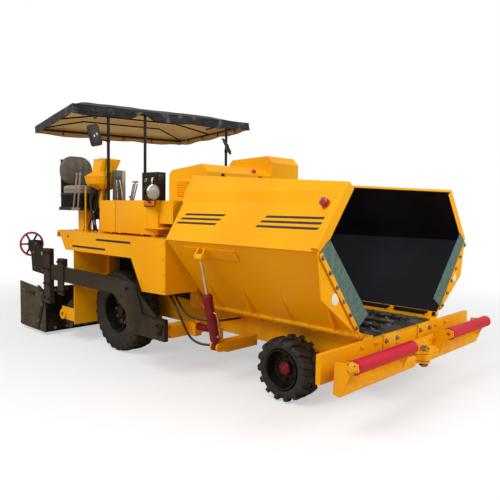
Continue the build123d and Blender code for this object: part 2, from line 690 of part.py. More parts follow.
with BuildPart() as side_boxes:
    for label, side in SIDES:
        with BuildSketch(Plane.XY.offset(box_bottom)):
            outline([(box_rear, side * box_inner), (box_front, side * box_inner),
                     (box_front, side * (box_outer - box_chamfer[1])), (box_front - box_chamfer[0], side * box_outer),
                     (box_rear, side * box_outer)])
        extrude(amount=box_top - box_bottom)
        # front extension and the shelf under it
        block((box_front - 5, 580), (side * box_inner, side * 1020), (1490, box_top))
        block((240, 560), (side * box_inner, side * 1125), (1440, 1452))
        for foot_x in (box_rear + 60, box_front - 60):
            for foot_y in (box_inner + 40, box_outer - 60):
                block((foot_x - 30, foot_x + 30), (side * (foot_y - 20), side * (foot_y + 20)),
                      (deck_top + SEAT_GAP, box_bottom + 1))
save(side_boxes, "side_boxes")

# engine hood: open at the bottom, with a taller cover on the left
hood_bottom = deck_top + SEAT_GAP
with BuildPart() as engine_hood:
    block((hood_rear, hood_front), (-hood_half_width, hood_half_width), (hood_bottom, hood_split_z))
    block((hood_rear + hood_wall, hood_front - hood_wall),
          (-hood_half_width + hood_wall, hood_half_width - hood_wall), (hood_bottom - 1, hood_split_z - hood_wall),
          mode=Mode.SUBTRACT)
    # mouth under the lid
    block((hood_rear + 40, hood_front - 40), (-hood_half_width + 40, hood_split_y - 40),
          (hood_split_z - 20, hood_split_z + 1), mode=Mode.SUBTRACT)
    with BuildSketch(side_plane(hood_half_width, hood_split_y + 4)):
        outline([(hood_rear - 70, hood_split_z - 20), (hood_rear - 70, tall_hood_top - 70),
                 (hood_rear - 20, tall_hood_top - 20), (hood_front - hood_chamfer, tall_hood_top),
                 (hood_front, tall_hood_top - hood_chamfer), (hood_front, hood_split_z - 20)])
    extrude(amount=hood_half_width - hood_split_y - 4)
    with BuildSketch(side_plane(hood_half_width - hood_wall, hood_split_y + 4 + hood_wall)):
        outline([(hood_rear - 60, hood_split_z - 6), (hood_rear - 60, tall_hood_top - 80),
                 (hood_rear - 20, tall_hood_top - 32), (hood_front - hood_chamfer, tall_hood_top - 12),
                 (hood_front - 12, tall_hood_top - hood_chamfer - 6), (hood_front - 12, hood_split_z - 6)])
    extrude(amount=hood_half_width - hood_split_y - 4 - 2 * hood_wall, mode=Mode.SUBTRACT)
save(engine_hood, "engine_hood")

lid_gap = 2
lid_wall = 5
lid_width = hood_half_width + hood_split_y - 2 * lid_gap
lid_outline = [(hood_rear, hood_split_z + SEAT_GAP), (hood_rear, hood_top - 90), (hood_rear + 45, hood_top - 45),
               (hood_front - 95, hood_top), (hood_front, hood_top - hood_chamfer),
               (hood_front, hood_split_z + SEAT_GAP)]
lid_inside = [(hood_rear + lid_wall, hood_split_z), (hood_rear + lid_wall, hood_top - 92),
              (hood_rear + 47, hood_top - 50), (hood_front - 96, hood_top - lid_wall),
              (hood_front - lid_wall, hood_top - hood_chamfer - 3), (hood_front - lid_wall, hood_split_z)]
with BuildPart() as hood_lid:
    with BuildSketch(side_plane(hood_split_y - lid_gap, -hood_half_width)):
        outline(lid_outline)
    extrude(amount=lid_width + lid_gap)
    with BuildSketch(side_plane(hood_split_y - lid_gap - lid_wall, -hood_half_width)):
        outline(lid_inside)
    extrude(amount=lid_width + lid_gap - 2 * lid_wall, mode=Mode.SUBTRACT)
save(hood_lid, "hood_lid")

with BuildPart() as engine_block:
    block((170, 640), (-560, 560), (1100, 1860))
    # mounting feet down to the frame's webs
    for label, side in SIDES:
        for foot_x in (220, 500):
            block((foot_x - 35, foot_x + 35), (side * 480, side * 540), (frame_top + SEAT_GAP, 1110))
save(engine_block, "engine_block")

# ---------------------------------------------------------------- operator's place
# height, length, width, forward shift and shift to the left of the console's sections
console_levels = ((1840, 110, 110, 0, 0), (1905, 230, 290, -25, 0), (1990, 245, 330, -25, 0),
                  (2040, 150, 215, 10, -5), (2050, 150, 215, 10, -5), (2170, 205, 225, 5, 38),
                  (2185, 205, 225, 5, 38))
console_x = -830
console_y = -925
with BuildPart() as control_console:
    # post, bell-shaped body, and the head that widens to its top
    block((console_x - 45, console_x + 35), (console_y - 40, console_y + 40), (deck_top + SEAT_GAP, 1900))
    block((console_x - 90, console_x + 60), (console_y - 90, console_y + 90), (deck_top + SEAT_GAP, deck_top + 12))
    for level, next_level in zip(console_levels, console_levels[1:]):
        for z, length, width, forward, left in (level, next_level):
            with BuildSketch(Plane.XY.offset(z)):
                with Locations((console_x + forward, console_y + left)):
                    Rectangle(length, width)
        loft(ruled=True)
save(control_console, "control_console")

panel_table = (      # x, y pair, z pair
    ((-705, -632), (-885, -765), (deck_top + SEAT_GAP, 2062)),
    ((-310, -40), (-760, -640), (box_top + SEAT_GAP, 2030)),
)
with BuildPart() as instrument_panels:
    for x_pair, y_pair, z_pair in panel_table:
        block(x_pair, y_pair, z_pair)
save(instrument_panels, "instrument_panels")

seat_x = -1180
seat_y = -1003
seat_plate_z = 1600      # underside of the seat's base plate
seat_plate_thickness = 40
seat_body_top = 1800
seat_recess = 35         # depth of the well that the seat cushion lies in
seat_width = 380
cushion_thickness = 130
cushion_shift = 12       # of the seat cushion, forward of the seat's middle
back_shell_x = seat_x - 187
back_shell_thickness = 18
back_width = 410
back_top = 2240
back_thickness = 75
back_corner = 150
cushion_bottom = seat_body_top - seat_recess + SEAT_GAP
back_bottom = cushion_bottom + cushion_thickness + 3
with BuildPart() as seat_pedestal:
    block((seat_x - 20, seat_x + 110), (seat_y - 45, seat_y + 55), (deck_top + SEAT_GAP, seat_plate_z))
    block((seat_x - 60, seat_x + 150), (seat_y - 85, seat_y + 95), (deck_top + SEAT_GAP, deck_top + 12))
save(seat_pedestal, "seat_pedestal")

with BuildPart() as seat_base:
    block((seat_x - 215, seat_x + 190), (seat_y - seat_width / 2, seat_y + seat_width / 2),
          (seat_plate_z + SEAT_GAP, seat_plate_z + seat_plate_thickness))
    with BuildSketch(Plane.XY.offset(seat_plate_z + seat_plate_thickness - 5)):
        with Locations((seat_x, seat_y)):
            RectangleRounded(seat_width - 20, seat_width - 30, 70)
    with BuildSketch(Plane.XY.offset(seat_body_top)):
        with Locations((seat_x + cushion_shift / 2, seat_y)):
            RectangleRounded(seat_width + 30, seat_width + 10, 90)
    loft()
    with BuildSketch(Plane.XY.offset(seat_body_top - seat_recess)):
        with Locations((seat_x + cushion_shift, seat_y)):
            RectangleRounded(seat_width - 4, seat_width - 4, 80)
    extrude(amount=60, mode=Mode.SUBTRACT)
    # back shell
    block((back_shell_x - back_shell_thickness, back_shell_x), (seat_y - 170, seat_y + 170),
          (seat_plate_z + seat_plate_thickness - 2, back_top - 40))
save(seat_base, "seat_base")

with BuildPart() as seat_cushions:
    with BuildSketch(Plane.XY.offset(cushion_bottom)):
        with Locations((seat_x + cushion_shift, seat_y)):
            RectangleRounded(seat_width - 20, seat_width - 20, 75)
    extrude(amount=cushion_thickness)
    with BuildSketch(Plane.YZ.offset(back_shell_x + SEAT_GAP)):
        with Locations((seat_y, (back_bottom + back_top) / 2)):
            RectangleRounded(back_width, back_top - back_bottom, back_corner)
    extrude(amount=back_thickness)
save(seat_cushions, "seat_cushions")

# ---------------------------------------------------------------- canopy
canopy_plane = Plane.XY.rotated((0, 0, canopy_yaw)).offset(canopy_hem)
canopy_plane.origin = Vector(canopy_x, 0, canopy_hem)
half_length = canopy_length / 2
half_width = canopy_width / 2


def under_canopy(along, across):
    """Plan position of a point given along and across the turned canopy."""
    turn_angle = math.radians(canopy_yaw)
    return (canopy_x + along * math.cos(turn_angle) - across * math.sin(turn_angle),
            along * math.sin(turn_angle) + across * math.cos(turn_angle))


crown_inset = 620
with BuildPart() as canopy_sheet:
    with BuildSketch(canopy_plane):
        Rectangle(canopy_length, canopy_width)
    extrude(amount=canopy_valance)
    with BuildSketch(canopy_plane.offset(canopy_valance)):
        Rectangle(canopy_length, canopy_width)
    with BuildSketch(canopy_plane.offset(canopy_valance + canopy_crown)):
        Rectangle(canopy_length - crown_inset, canopy_width - crown_inset)
    loft(ruled=True)
    with BuildSketch(canopy_plane):
        Rectangle(canopy_length - 2 * canopy_skin, canopy_width - 2 * canopy_skin)
    extrude(amount=canopy_valance, mode=Mode.SUBTRACT)
    with BuildSketch(canopy_plane.offset(canopy_valance)):
        Rectangle(canopy_length - 2 * canopy_skin, canopy_width - 2 * canopy_skin)
    with BuildSketch(canopy_plane.offset(canopy_valance + canopy_crown - canopy_skin)):
        Rectangle(canopy_length - crown_inset - 60, canopy_width - crown_inset - 60)
    loft(ruled=True, mode=Mode.SUBTRACT)
save(canopy_sheet, "canopy_sheet")

frame_inset = canopy_skin + post_radius + SEAT_GAP
frame_tube_z = canopy_hem + 70
post_table = (      # place across the front tube, foot height
    (-720, deck_top + SEAT_GAP),
    (-285, deck_top + SEAT_GAP),
    (800, deck_top + SEAT_GAP),
)
front_along = half_length - frame_inset
side_across = half_width - frame_inset
with BuildPart() as canopy_frame:
    # front and rear tubes with their ends capped, and the thinner side tubes between them
    for along in (-front_along, front_along):
        ends = [under_canopy(along, across) for across in (-side_across - 10, side_across + 10)]
        bar((*ends[0], frame_tube_z), (*ends[1], frame_tube_z), tube_radius)
    for across in (-side_across, side_across):
        ends = [under_canopy(along, across) for along in (-front_along, front_along)]
        bar((*ends[0], frame_tube_z), (*ends[1], frame_tube_z), side_tube_radius)
    # bows across, each bent at two corners
    ridge_z = canopy_hem + canopy_valance + canopy_crown - canopy_skin - bow_radius - 10
    for along in (-front_along + 60, 0, front_along - 60):
        low = [under_canopy(along, across) for across in (-side_across, side_across)]
        high = [under_canopy(along * 0.62, across) for across in (-560, 560)]
        for start, end in zip(low, high):
            bar((*start, frame_tube_z), (*end, ridge_z), bow_radius)
        bar((*high[0], ridge_z), (*high[1], ridge_z), bow_radius)
    for across, foot_z in post_table:
        post = under_canopy(front_along, across)
        bar((*post, foot_z), (*post, frame_tube_z), post_radius)
        bar((*post, foot_z), (*post, foot_z + 10), 55)
    # struts from the posts back to the side tubes
    for across in (post_table[0][0], post_table[2][0]):
        post = under_canopy(front_along, across)
        back = under_canopy(front_along - 560, across)
        bar((*post, frame_tube_z - 6), (*back, frame_tube_z - 6), bow_radius)
save(canopy_frame, "canopy_frame")

mirror_table = (      # post's place across, mirror's x and y offset from it, centre height, width, height, turn
    (-720, 0, -165, 2430, 140, 240, -6),
    (800, 112, -97, 2420, 120, 220, 40),
)
with BuildPart() as mirrors:
    for across, offset_x, offset_y, mirror_z, mirror_width, mirror_height, turn in mirror_table:
        post_x, post_y = under_canopy(front_along, across)
        centre = (post_x + offset_x, post_y + offset_y, mirror_z)
        with Locations(Location(centre, (0, 0, turn))):
            Box(28, mirror_width, mirror_height)
        arm_end = (post_x + offset_x, post_y + offset_y, mirror_z - mirror_height * 0.2)
        arm_start = Vector(post_x, post_y, arm_end[2])
        reach = (Vector(*arm_end) - arm_start).normalized()
        bar(tuple(arm_start + reach * (post_radius + SEAT_GAP)), arm_end, 8)
save(mirrors, "mirrors")

lamp_x = 362
with BuildPart() as work_lamp:
    # plate on the side box, arm, stalk and the lamp's body
    block((lamp_x - 130, lamp_x + 25), (-box_outer - 10, -box_outer - SEAT_GAP), (1655, 1700))
    block((lamp_x - 25, lamp_x + 25), (-box_outer - 40, -box_outer - 5), (1690, 1700))
    bar((lamp_x, -box_outer - 22, 1695), (lamp_x, -box_outer - 22, 1740), 9)
    bar((lamp_x - 35, -box_outer - 22, 1798), (lamp_x + 35, -box_outer - 22, 1798), 70)
save(work_lamp, "work_lamp")

# ---------------------------------------------------------------- tow arms, screed and augers
arm_outer = arm_inner + arm_thickness
arm_outline = [(tower_front - 5, 940), (60, 910), (180, 860), (330, 610), (470, 600), (755, 595), (755, 400),
               (160, 400), (120, 470), (120, 700), (60, 755), (tower_front - 5, 760)]
with BuildPart() as tow_arms:
    for label, side in SIDES:
        with BuildSketch(side_plane(side * arm_inner, side * arm_outer)):
            outline(arm_outline)
            with Locations(arm_pivot):
                Circle(arm_pin_radius + RUN_GAP, mode=Mode.SUBTRACT)
        extrude(amount=arm_thickness)
        # tower on the screed's front plate, and the clamp round the arm
        block((tower_rear, tower_front), (side * arm_inner, side * tower_outer), (tower_bottom, tower_top))
        block(clamp_x, (side * (arm_outer - 5), side * tower_outer), (600, 1030))
        block(clamp_x, (side * arm_inner, side * tower_outer), (938, 1030))
save(tow_arms, "tow_arms")

with BuildPart() as screed_body:
    block((screed_rear + 60, screed_front - 8), (-1225, 1225), (screed_bottom + 10, 480))
    # deflector plate at the front and the walkway on top
    deflector_half_width = screed_half_width - end_gate_thickness - SEAT_GAP
    block((screed_front - 20, screed_front), (-deflector_half_width, deflector_half_width), (screed_bottom, 640))
    block((screed_rear + 20, screed_rear + 300), (-1150, 1150), (478, 500))
save(screed_body, "screed_body")

with BuildPart() as screed_end_gates:
    for label, side in SIDES:
        with BuildSketch(side_plane(side * (screed_half_width - end_gate_thickness), side * screed_half_width)):
            outline([(screed_rear, 90), (screed_rear + 30, screed_bottom), (screed_front, screed_bottom),
                     (screed_front, 600), (screed_front - 60, 612), (screed_rear, 655)])
            with Locations(extension_centre):
                with GridLocations(extension_spacing_x, extension_spacing_z, 2, 2):
                    Circle(extension_hole_radius, mode=Mode.SUBTRACT)
        extrude(amount=end_gate_thickness)
save(screed_end_gates, "screed_end_gates")

# hand wheel: its plane, its track and its height
hand_wheel_x = -2180
hand_wheel_y = 1180
hand_wheel_z = 1150
hand_wheel_radius = 155
casting_outline = [(-2130, 1200), (-2130, 1100), (-2050, 1040), (-2020, 820), (screed_front, 800),
                   (screed_front, 1105), (-1760, 1095), (-1960, 1215)]
with BuildPart() as depth_screws:
    for label, side in SIDES:
        # casting on the tower, gear case, shaft and the hand wheel behind it
        with BuildSketch(side_plane(side * arm_inner, side * (arm_inner + 45))):
            outline(casting_outline)
        extrude(amount=45)
        block((-2140, -2000), (side * (hand_wheel_y - 50), side * (hand_wheel_y + 50)),
              (hand_wheel_z - 55, hand_wheel_z + 55))
        bar((hand_wheel_x - 15, side * hand_wheel_y, hand_wheel_z), (-2100, side * hand_wheel_y, hand_wheel_z), 16)
        with BuildSketch(Plane.YZ.offset(hand_wheel_x - 10)):
            with Locations((side * hand_wheel_y, hand_wheel_z)):
                Circle(hand_wheel_radius)
                Circle(hand_wheel_radius - 18, mode=Mode.SUBTRACT)
                Circle(34)
                with PolarLocations(88, 6):
                    Rectangle(110, 15)
        extrude(amount=18)
save(depth_screws, "depth_screws")

for label, side in SIDES:
    with BuildPart() as auger:
        bar((auger_x, side * (auger_inner - 25), auger_z), (auger_x, side * (auger_outer + 45), auger_z),
            auger_shaft_radius - 8)
        bar((auger_x, side * auger_inner, auger_z), (auger_x, side * auger_outer, auger_z), auger_shaft_radius)
        flight_count = int((auger_outer - auger_inner - auger_pitch / 2) / auger_pitch) + 1
        flight_tilt = math.atan(auger_pitch / (2.6 * auger_radius))
        for i in range(flight_count):
            flight_plane = Plane(origin=(auger_x, side * (auger_inner + auger_pitch * (i + 0.5)), auger_z),
                                 x_dir=(1, 0, 0), z_dir=(0, math.cos(flight_tilt), side * math.sin(flight_tilt)))
            with BuildSketch(flight_plane):
                Circle(auger_radius * math.cos(flight_tilt))
            extrude(amount=flight_thickness)
    save(auger, f"auger_{label}")

# ---------------------------------------------------------------- hydraulic hoses
def bend_radii(points):
    """The largest radius at each corner that leaves a short straight part on both of its runs."""
    radii = []
    for before, corner, after in zip(points, points[1:], points[2:]):
        run_in = Vector(*corner) - Vector(*before)
        run_out = Vector(*after) - Vector(*corner)
        turn = math.radians(run_in.get_angle(run_out))
        radii.append(0.45 * min(run_in.length, run_out.length) / math.tan(turn / 2))
    return radii


for hose_name, route in hose_routes.items():
    for label, side in SIDES:
        points = [mirrored(point, side) for point in route]
        radii = bend_radii(points)
        start_direction = (Vector(*points[1]) - Vector(*points[0])).normalized()
        with BuildPart() as hose:
            with BuildLine() as hose_line:
                FilletPolyline(*points, radius=radii)
            with BuildSketch(Plane(origin=points[0], z_dir=start_direction)):
                Circle(hose_radius)
            sweep(path=hose_line.wire())
        tube_volume = math.pi * hose_radius ** 2 * hose_line.wire().length
        print(f"hose_{hose_name}_{label}", "smallest radius", round(min(radii)), "length",
              round(hose_line.wire().length), "volume ratio", round(hose.part.volume / tube_volume, 4))
        save(hose, f"hose_{hose_name}_{label}")

with BuildPart() as levelling_cylinders:
    for label, side in SIDES:
        bar((levelling_start + SEAT_GAP, side * levelling_track, levelling_z),
            (levelling_end - 60, side * levelling_track, levelling_z), levelling_radius)
        bar((levelling_end - 65, side * levelling_track, levelling_z),
            (levelling_end - SEAT_GAP, side * levelling_track, levelling_z), levelling_radius / 2)
save(levelling_cylinders, "levelling_cylinders")
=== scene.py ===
"""Wheeled asphalt paver: its finishes and its small pieces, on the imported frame, in metres.

+X is forward, +Y the machine's left, +Z up. The sections follow the machine as it is put together.
"""

import math

import bmesh
import bpy
from mathutils import Matrix, Quaternion, Vector, noise


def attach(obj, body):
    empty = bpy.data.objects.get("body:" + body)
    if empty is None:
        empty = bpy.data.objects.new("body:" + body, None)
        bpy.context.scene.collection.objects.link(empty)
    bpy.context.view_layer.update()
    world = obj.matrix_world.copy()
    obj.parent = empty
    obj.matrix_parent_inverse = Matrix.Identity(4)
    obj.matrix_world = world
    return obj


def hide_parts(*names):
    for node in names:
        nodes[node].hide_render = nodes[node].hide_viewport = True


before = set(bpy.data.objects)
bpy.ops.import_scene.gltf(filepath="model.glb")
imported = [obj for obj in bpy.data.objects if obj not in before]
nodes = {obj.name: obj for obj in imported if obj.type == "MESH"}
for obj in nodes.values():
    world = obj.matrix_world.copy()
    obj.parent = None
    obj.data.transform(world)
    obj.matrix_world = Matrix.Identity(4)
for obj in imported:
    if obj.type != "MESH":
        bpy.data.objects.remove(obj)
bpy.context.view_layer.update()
scene = bpy.context.scene
SIDES = {"right": -1, "left": 1}
# heights in this script are taken from the machine's base line, and the road lies this far above it
ROAD_HEIGHT = 0.036

# ---------------- camera
# A normal lens at a standing person's eye height, off the machine's front right corner.
# It is aimed a little down and rolled by under one degree.
CAMERA_PLACE = Vector((4.755, -4.26, 1.65 - ROAD_HEIGHT))
CAMERA_AIM = Vector((-0.6933, 0.7170, -0.0760))
CAMERA_ROLL = 0.0157              # radians, the right-hand side of the frame is held a little high
LENS_MM = 38.95

camera_data = bpy.data.cameras.new("camera")
camera_data.lens = LENS_MM
camera_data.sensor_width = 36
camera = bpy.data.objects.new("camera", camera_data)
camera.location = CAMERA_PLACE
camera.rotation_euler = (CAMERA_AIM.to_track_quat("-Z", "Y") @ Quaternion((0, 0, 1), CAMERA_ROLL)).to_euler()
scene.collection.objects.link(camera)
scene.camera = camera

# ---------------- hydraulic hoses
# Two-wire braided hose with a smooth black cover, 22 mm across, crimped into plated fittings at both ends.
# They feed the wing cylinders, and swing in a shallow bow from under the side panels down and inward.
HOSE_DIAMETER = 0.022
HOSE_ROUTES = {
    "upper": ((0.560, 0.985, 0.806), (0.625, 0.988, 0.748), (0.684, 0.992, 0.686), (0.752, 0.990, 0.636),
              (0.832, 0.978, 0.609), (0.912, 0.946, 0.597), (0.985, 0.893, 0.592), (1.032, 0.818, 0.590),
              (1.054, 0.735, 0.588), (1.064, 0.653, 0.587), (1.068, 0.572, 0.586)),
    "lower": ((0.550, 1.035, 0.806), (0.621, 1.040, 0.748), (0.685, 1.048, 0.684), (0.740, 1.046, 0.612),
              (0.775, 1.032, 0.534), (0.803, 1.014, 0.460), (0.852, 0.994, 0.402), (0.922, 0.964, 0.370),
              (0.994, 0.924, 0.364), (1.056, 0.884, 0.374), (1.100, 0.856, 0.386)),
}


def linear(colour):
    """An sRGB hex colour as the linear colour a shader takes."""
    channels = [int(colour[i:i + 2], 16) / 255 for i in (1, 3, 5)]
    return [c / 12.92 if c <= 0.04045 else ((c + 0.055) / 1.055) ** 2.4 for c in channels] + [1]


def feed(node, name, socket):
    """Run a socket into one of a node's inputs."""
    node.id_data.links.new(socket, node.inputs[name])


def add(owner, kind, inputs=None, **settings):
    """Add one node to the owner's tree: its settings, and its inputs' values or sockets that feed them."""
    made = owner.id_data.nodes.new(kind)
    for name, value in settings.items():
        setattr(made, name, value)
    for name, value in (inputs or {}).items():
        if isinstance(value, bpy.types.NodeSocket):
            feed(made, name, value)
        else:
            made.inputs[name].default_value = value
    return made


def finish(name, roughness, metallic=0.0, coat=0.0, specular=0.5):
    """A new material for one real finish: the material, its shader and the place on the piece."""
    material = bpy.data.materials.new(name)
    material.use_nodes = True
    shader = material.node_tree.nodes["Principled BSDF"]
    shader.inputs["Roughness"].default_value = roughness
    shader.inputs["Metallic"].default_value = metallic
    shader.inputs["Coat Weight"].default_value = coat
    shader.inputs["Specular IOR Level"].default_value = specular
    return material, shader, add(shader, "ShaderNodeTexCoord").outputs["Object"]


def rise(value, low, high, kind="SMOOTHSTEP"):
    """A mask that climbs from 0 where the value is low to 1 where it is high."""
    return add(value, "ShaderNodeMapRange", {"Value": value, "From Min": low, "From Max": high},
               interpolation_type=kind).outputs[0]


def cloudy(place, size, low, high, detail=4.0, stretch=(1, 1, 1)):
    """Soft patches of about the given size in metres, from 0 below low to 1 above high."""
    if stretch != (1, 1, 1):
        place = add(place, "ShaderNodeMapping", {"Vector": place, "Scale": stretch}).outputs[0]
    patches = add(place, "ShaderNodeTexNoise", {"Vector": place, "Scale": 1 / size, "Detail": detail})
    return rise(patches.outputs["Fac"], low, high)


def over(mask, under_colour, over_colour):
    """One colour laid over another where the mask is 1."""
    values = [value if isinstance(value, bpy.types.NodeSocket) else linear(value)
              for value in (under_colour, over_colour)]
    return add(mask, "ShaderNodeMix", {0: mask, 6: values[0], 7: values[1]}, data_type="RGBA").outputs[2]


def relief(shader, height, depth, strength=1.0):
    """Small relief on the surface, depth in metres from the lowest to the highest."""
    bumps = add(shader, "ShaderNodeBump", {"Height": height, "Distance": depth, "Strength": strength})
    feed(shader, "Normal", bumps.outputs[0])


def mottled(name, roughness, colour, second, size, low, grain=None, **more):
    """A finish with patches of a second tone, and a fine grain if its size, depth and strength are given."""
    material, shader, place = finish(name, roughness, **more)
    feed(shader, "Base Color", over(cloudy(place, size, low, 0.7), colour, second))
    if grain:
        relief(shader, cloudy(place, grain[0], 0.3, 0.7), *grain[1:])
    return material


# Extruded rubber: near black, a soft sheen, a faint cloth-wrap grain and road dust.
hose_rubber = mottled("extruded_hose_rubber", 0.42, "#17171A", "#2A2826", 0.06, 0.35, (0.0025, 0.0002, 0.5))

for label, side in SIDES.items():
    for run, route in HOSE_ROUTES.items():
        curve = bpy.data.curves.new(f"hydraulic_hose_{run}_{label}", "CURVE")
        curve.dimensions = "3D"
        spline = curve.splines.new("NURBS")
        spline.points.add(len(route) - 1)
        for point, (x, y, z) in zip(spline.points, route):
            point.co = (x, side * y, z - ROAD_HEIGHT, 1)
        spline.order_u = 3
        spline.use_endpoint_u = True
        spline.resolution_u = 8
        curve.resolution_u = 8
        curve.bevel_depth = HOSE_DIAMETER / 2
        curve.bevel_resolution = 5
        curve.materials.append(hose_rubber)
        hose = bpy.data.objects.new(curve.name, curve)
        scene.collection.objects.link(hose)
        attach(hose, "chassis")
        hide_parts(f"hose_{run}_{label}")

# ---------------- floor and light
# A pale studio floor that runs out to white, under one large soft lamp above the right side
# and a weaker one in front.
FLOOR_RADIUS = 40
KEY_WATTS, KEY_PLACE, KEY_SIZE = 500, (1.2, -7.0, 7.5), 5.0
FRONT_WATTS, FRONT_PLACE, FRONT_SIZE = 270, (8.0, 1.5, 4.5), 4.0
SKY_LEVEL = 0.50
WHITE_FROM, WHITE_AT = 3.5, 8.0      # distances from the middle between which the floor runs out to white


def between(mask, low, high):
    """A mask as a value that runs from low to high."""
    return add(mask, "ShaderNodeMapRange", {"Value": mask, "To Min": low, "To Max": high}).outputs[0]


def worked(operation, first, second):
    """One sum, or one comparison, of two values of which at least one is a socket."""
    owner = first if isinstance(first, bpy.types.NodeSocket) else second
    return add(owner, "ShaderNodeMath", {0: first, 1: second}, operation=operation).outputs[0]


def times(first, second):
    """Two masks, one on the other."""
    return worked("MULTIPLY", first, second)


floor_mesh = bpy.data.meshes.new("floor")
rim = [(FLOOR_RADIUS * math.cos(a * math.pi / 32), FLOOR_RADIUS * math.sin(a * math.pi / 32), -0.001)
       for a in range(64)]
floor_mesh.from_pydata(rim, [], [list(range(64))])
floor = bpy.data.objects.new("floor", floor_mesh)
scene.collection.objects.link(floor)
floor_paint, shader, place = finish("studio_floor_paint", 0.9)
from_middle = add(place, "ShaderNodeVectorMath", {0: place}, operation="LENGTH").outputs["Value"]
far_out = rise(from_middle, WHITE_FROM, WHITE_AT)
seen = add(place, "ShaderNodeLightPath")
# pale to the eye, the tone of a laid road to the light that bounces up under the machine
paint = over(seen.outputs["Is Camera Ray"], "#CDB78E", "#F9F9F9")
feed(shader, "Base Color", paint)
white = add(place, "ShaderNodeEmission", {"Color": (1, 1, 1, 1), "Strength": 1.0})
whiter = between(far_out, 0.5, 1.0)
blend = add(place, "ShaderNodeMixShader", {
    0: times(whiter, seen.outputs["Is Camera Ray"]), 1: shader.outputs[0], 2: white.outputs[0]})
feed(floor_paint.node_tree.nodes["Material Output"], "Surface", blend.outputs[0])
floor_mesh.materials.append(floor_paint)

world = bpy.data.worlds.new("studio")
scene.world = world
world.use_nodes = True
background = world.node_tree.nodes["Background"]
seen = add(background, "ShaderNodeLightPath").outputs
shown = worked("MAXIMUM", seen["Is Camera Ray"], seen["Is Transmission Ray"])
level = between(shown, SKY_LEVEL, 1.0)
background.inputs["Color"].default_value = (1, 1, 1, 1)
feed(background, "Strength", level)
LAMPS_AIM = Vector((0.4, 0, 1.0))

for name, watts, place, size in (("key_lamp", KEY_WATTS, KEY_PLACE, KEY_SIZE),
                                 ("front_lamp", FRONT_WATTS, FRONT_PLACE, FRONT_SIZE)):
    lamp_data = bpy.data.lights.new(name, "AREA")
    lamp_data.energy = watts
    lamp_data.size = size
    lamp = bpy.data.objects.new(name, lamp_data)
    lamp.location = place
    lamp.rotation_euler = (LAMPS_AIM - Vector(place)).to_track_quat("-Z", "Y").to_euler()
    scene.collection.objects.link(lamp)
scene.view_settings.view_transform = "Standard"

# ---------------- main frame
# Welded plate webs with cross members, the front cross-beam and the brackets of axles, arms and cylinders.
# Sprayed with two-pack enamel: a warm yellow with a soft shine, fine orange peel, and dust low down.
YELLOW = "#F8B000"
DEEP_YELLOW = "#F2A400"
ORANGE = "#FAB402"
ROAD_DUST = "#8C7350"
DUST_TOP = 1.0      # dust is thrown up to this height


def height_of(place):
    """Height above the road."""
    return add(place, "ShaderNodeSeparateXYZ", {0: place}).outputs[2]


def enamel(name, colour, second, roughness=0.30, dust=0.35):
    """Sprayed enamel: drifts of tone, run-off streaks, dust on what is near the road, and orange peel."""
    material, shader, place = finish(name, roughness, specular=0.2)
    tone = over(cloudy(place, 0.9, 0.3, 0.75, 2.0), colour, second)
    streaks = times(cloudy(place, 0.05, 0.58, 0.85, 3.0, (1, 1, 0.12)), 0.10)
    tone = over(streaks, tone, ROAD_DUST)
    low_down = rise(height_of(place), DUST_TOP, 0.1)
    dusty = times(times(low_down, cloudy(place, 0.11, 0.38, 0.75, 6.0)), dust)
    feed(shader, "Base Color", over(dusty, tone, ROAD_DUST))
    feed(shader, "Roughness", between(cloudy(place, 0.3, 0.3, 0.7), roughness - 0.06, roughness + 0.10))
    # peel 4 mm across, coarser than the real 1 to 2 mm so that it shows
    relief(shader, cloudy(place, 0.004, 0.2, 0.8, 1.0), 0.0002, 0.35)
    return material


def dress(name, material):
    """Give a frame node its finish."""
    slots = nodes[name].data.materials
    slots.clear()
    slots.append(material)


yellow_enamel = enamel("yellow_two_pack_enamel", YELLOW, DEEP_YELLOW)
dress("main_frame", yellow_enamel)


def mesh_piece(name, mesh, material, body="chassis"):
    """Put a finished mesh on its body, set down on the road, with its material."""
    mesh.transform(Matrix.Translation((0, 0, -ROAD_HEIGHT)))
    mesh.materials.clear()
    mesh.materials.append(material)
    obj = bpy.data.objects.new(name, mesh)
    scene.collection.objects.link(obj)
    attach(obj, body)
    return obj


def block(low, high):
    """A box between two corners."""
    corners = [(x, y, z) for x in (low[0], high[0]) for y in (low[1], high[1]) for z in (low[2], high[2])]
    return corners, [(0, 1, 3, 2), (4, 6, 7, 5), (0, 4, 5, 1), (2, 3, 7, 6), (0, 2, 6, 4), (1, 5, 7, 3)]


def plate(outline, thickness, to_place):
    """A flat plate: its outline in two measures and its thickness; to_place gives each point its place."""
    count = len(outline)
    corners = [to_place(u, v, w) for w in (0, thickness) for u, v in outline]
    sides = [(i, (i + 1) % count, (i + 1) % count + count, i + count) for i in range(count)]
    return corners, [tuple(range(count - 1, -1, -1)), tuple(range(count, 2 * count))] + sides


def on_front(x):
    """Places a plate's outline across the machine, upright, and its thickness forward from x."""
    return lambda u, v, w: (x + w, u, v)


def across(direction):
    """Two directions square to one another and to the one given."""
    direction = Vector(direction).normalized()
    first = direction.orthogonal().normalized()
    return direction, first, direction.cross(first)


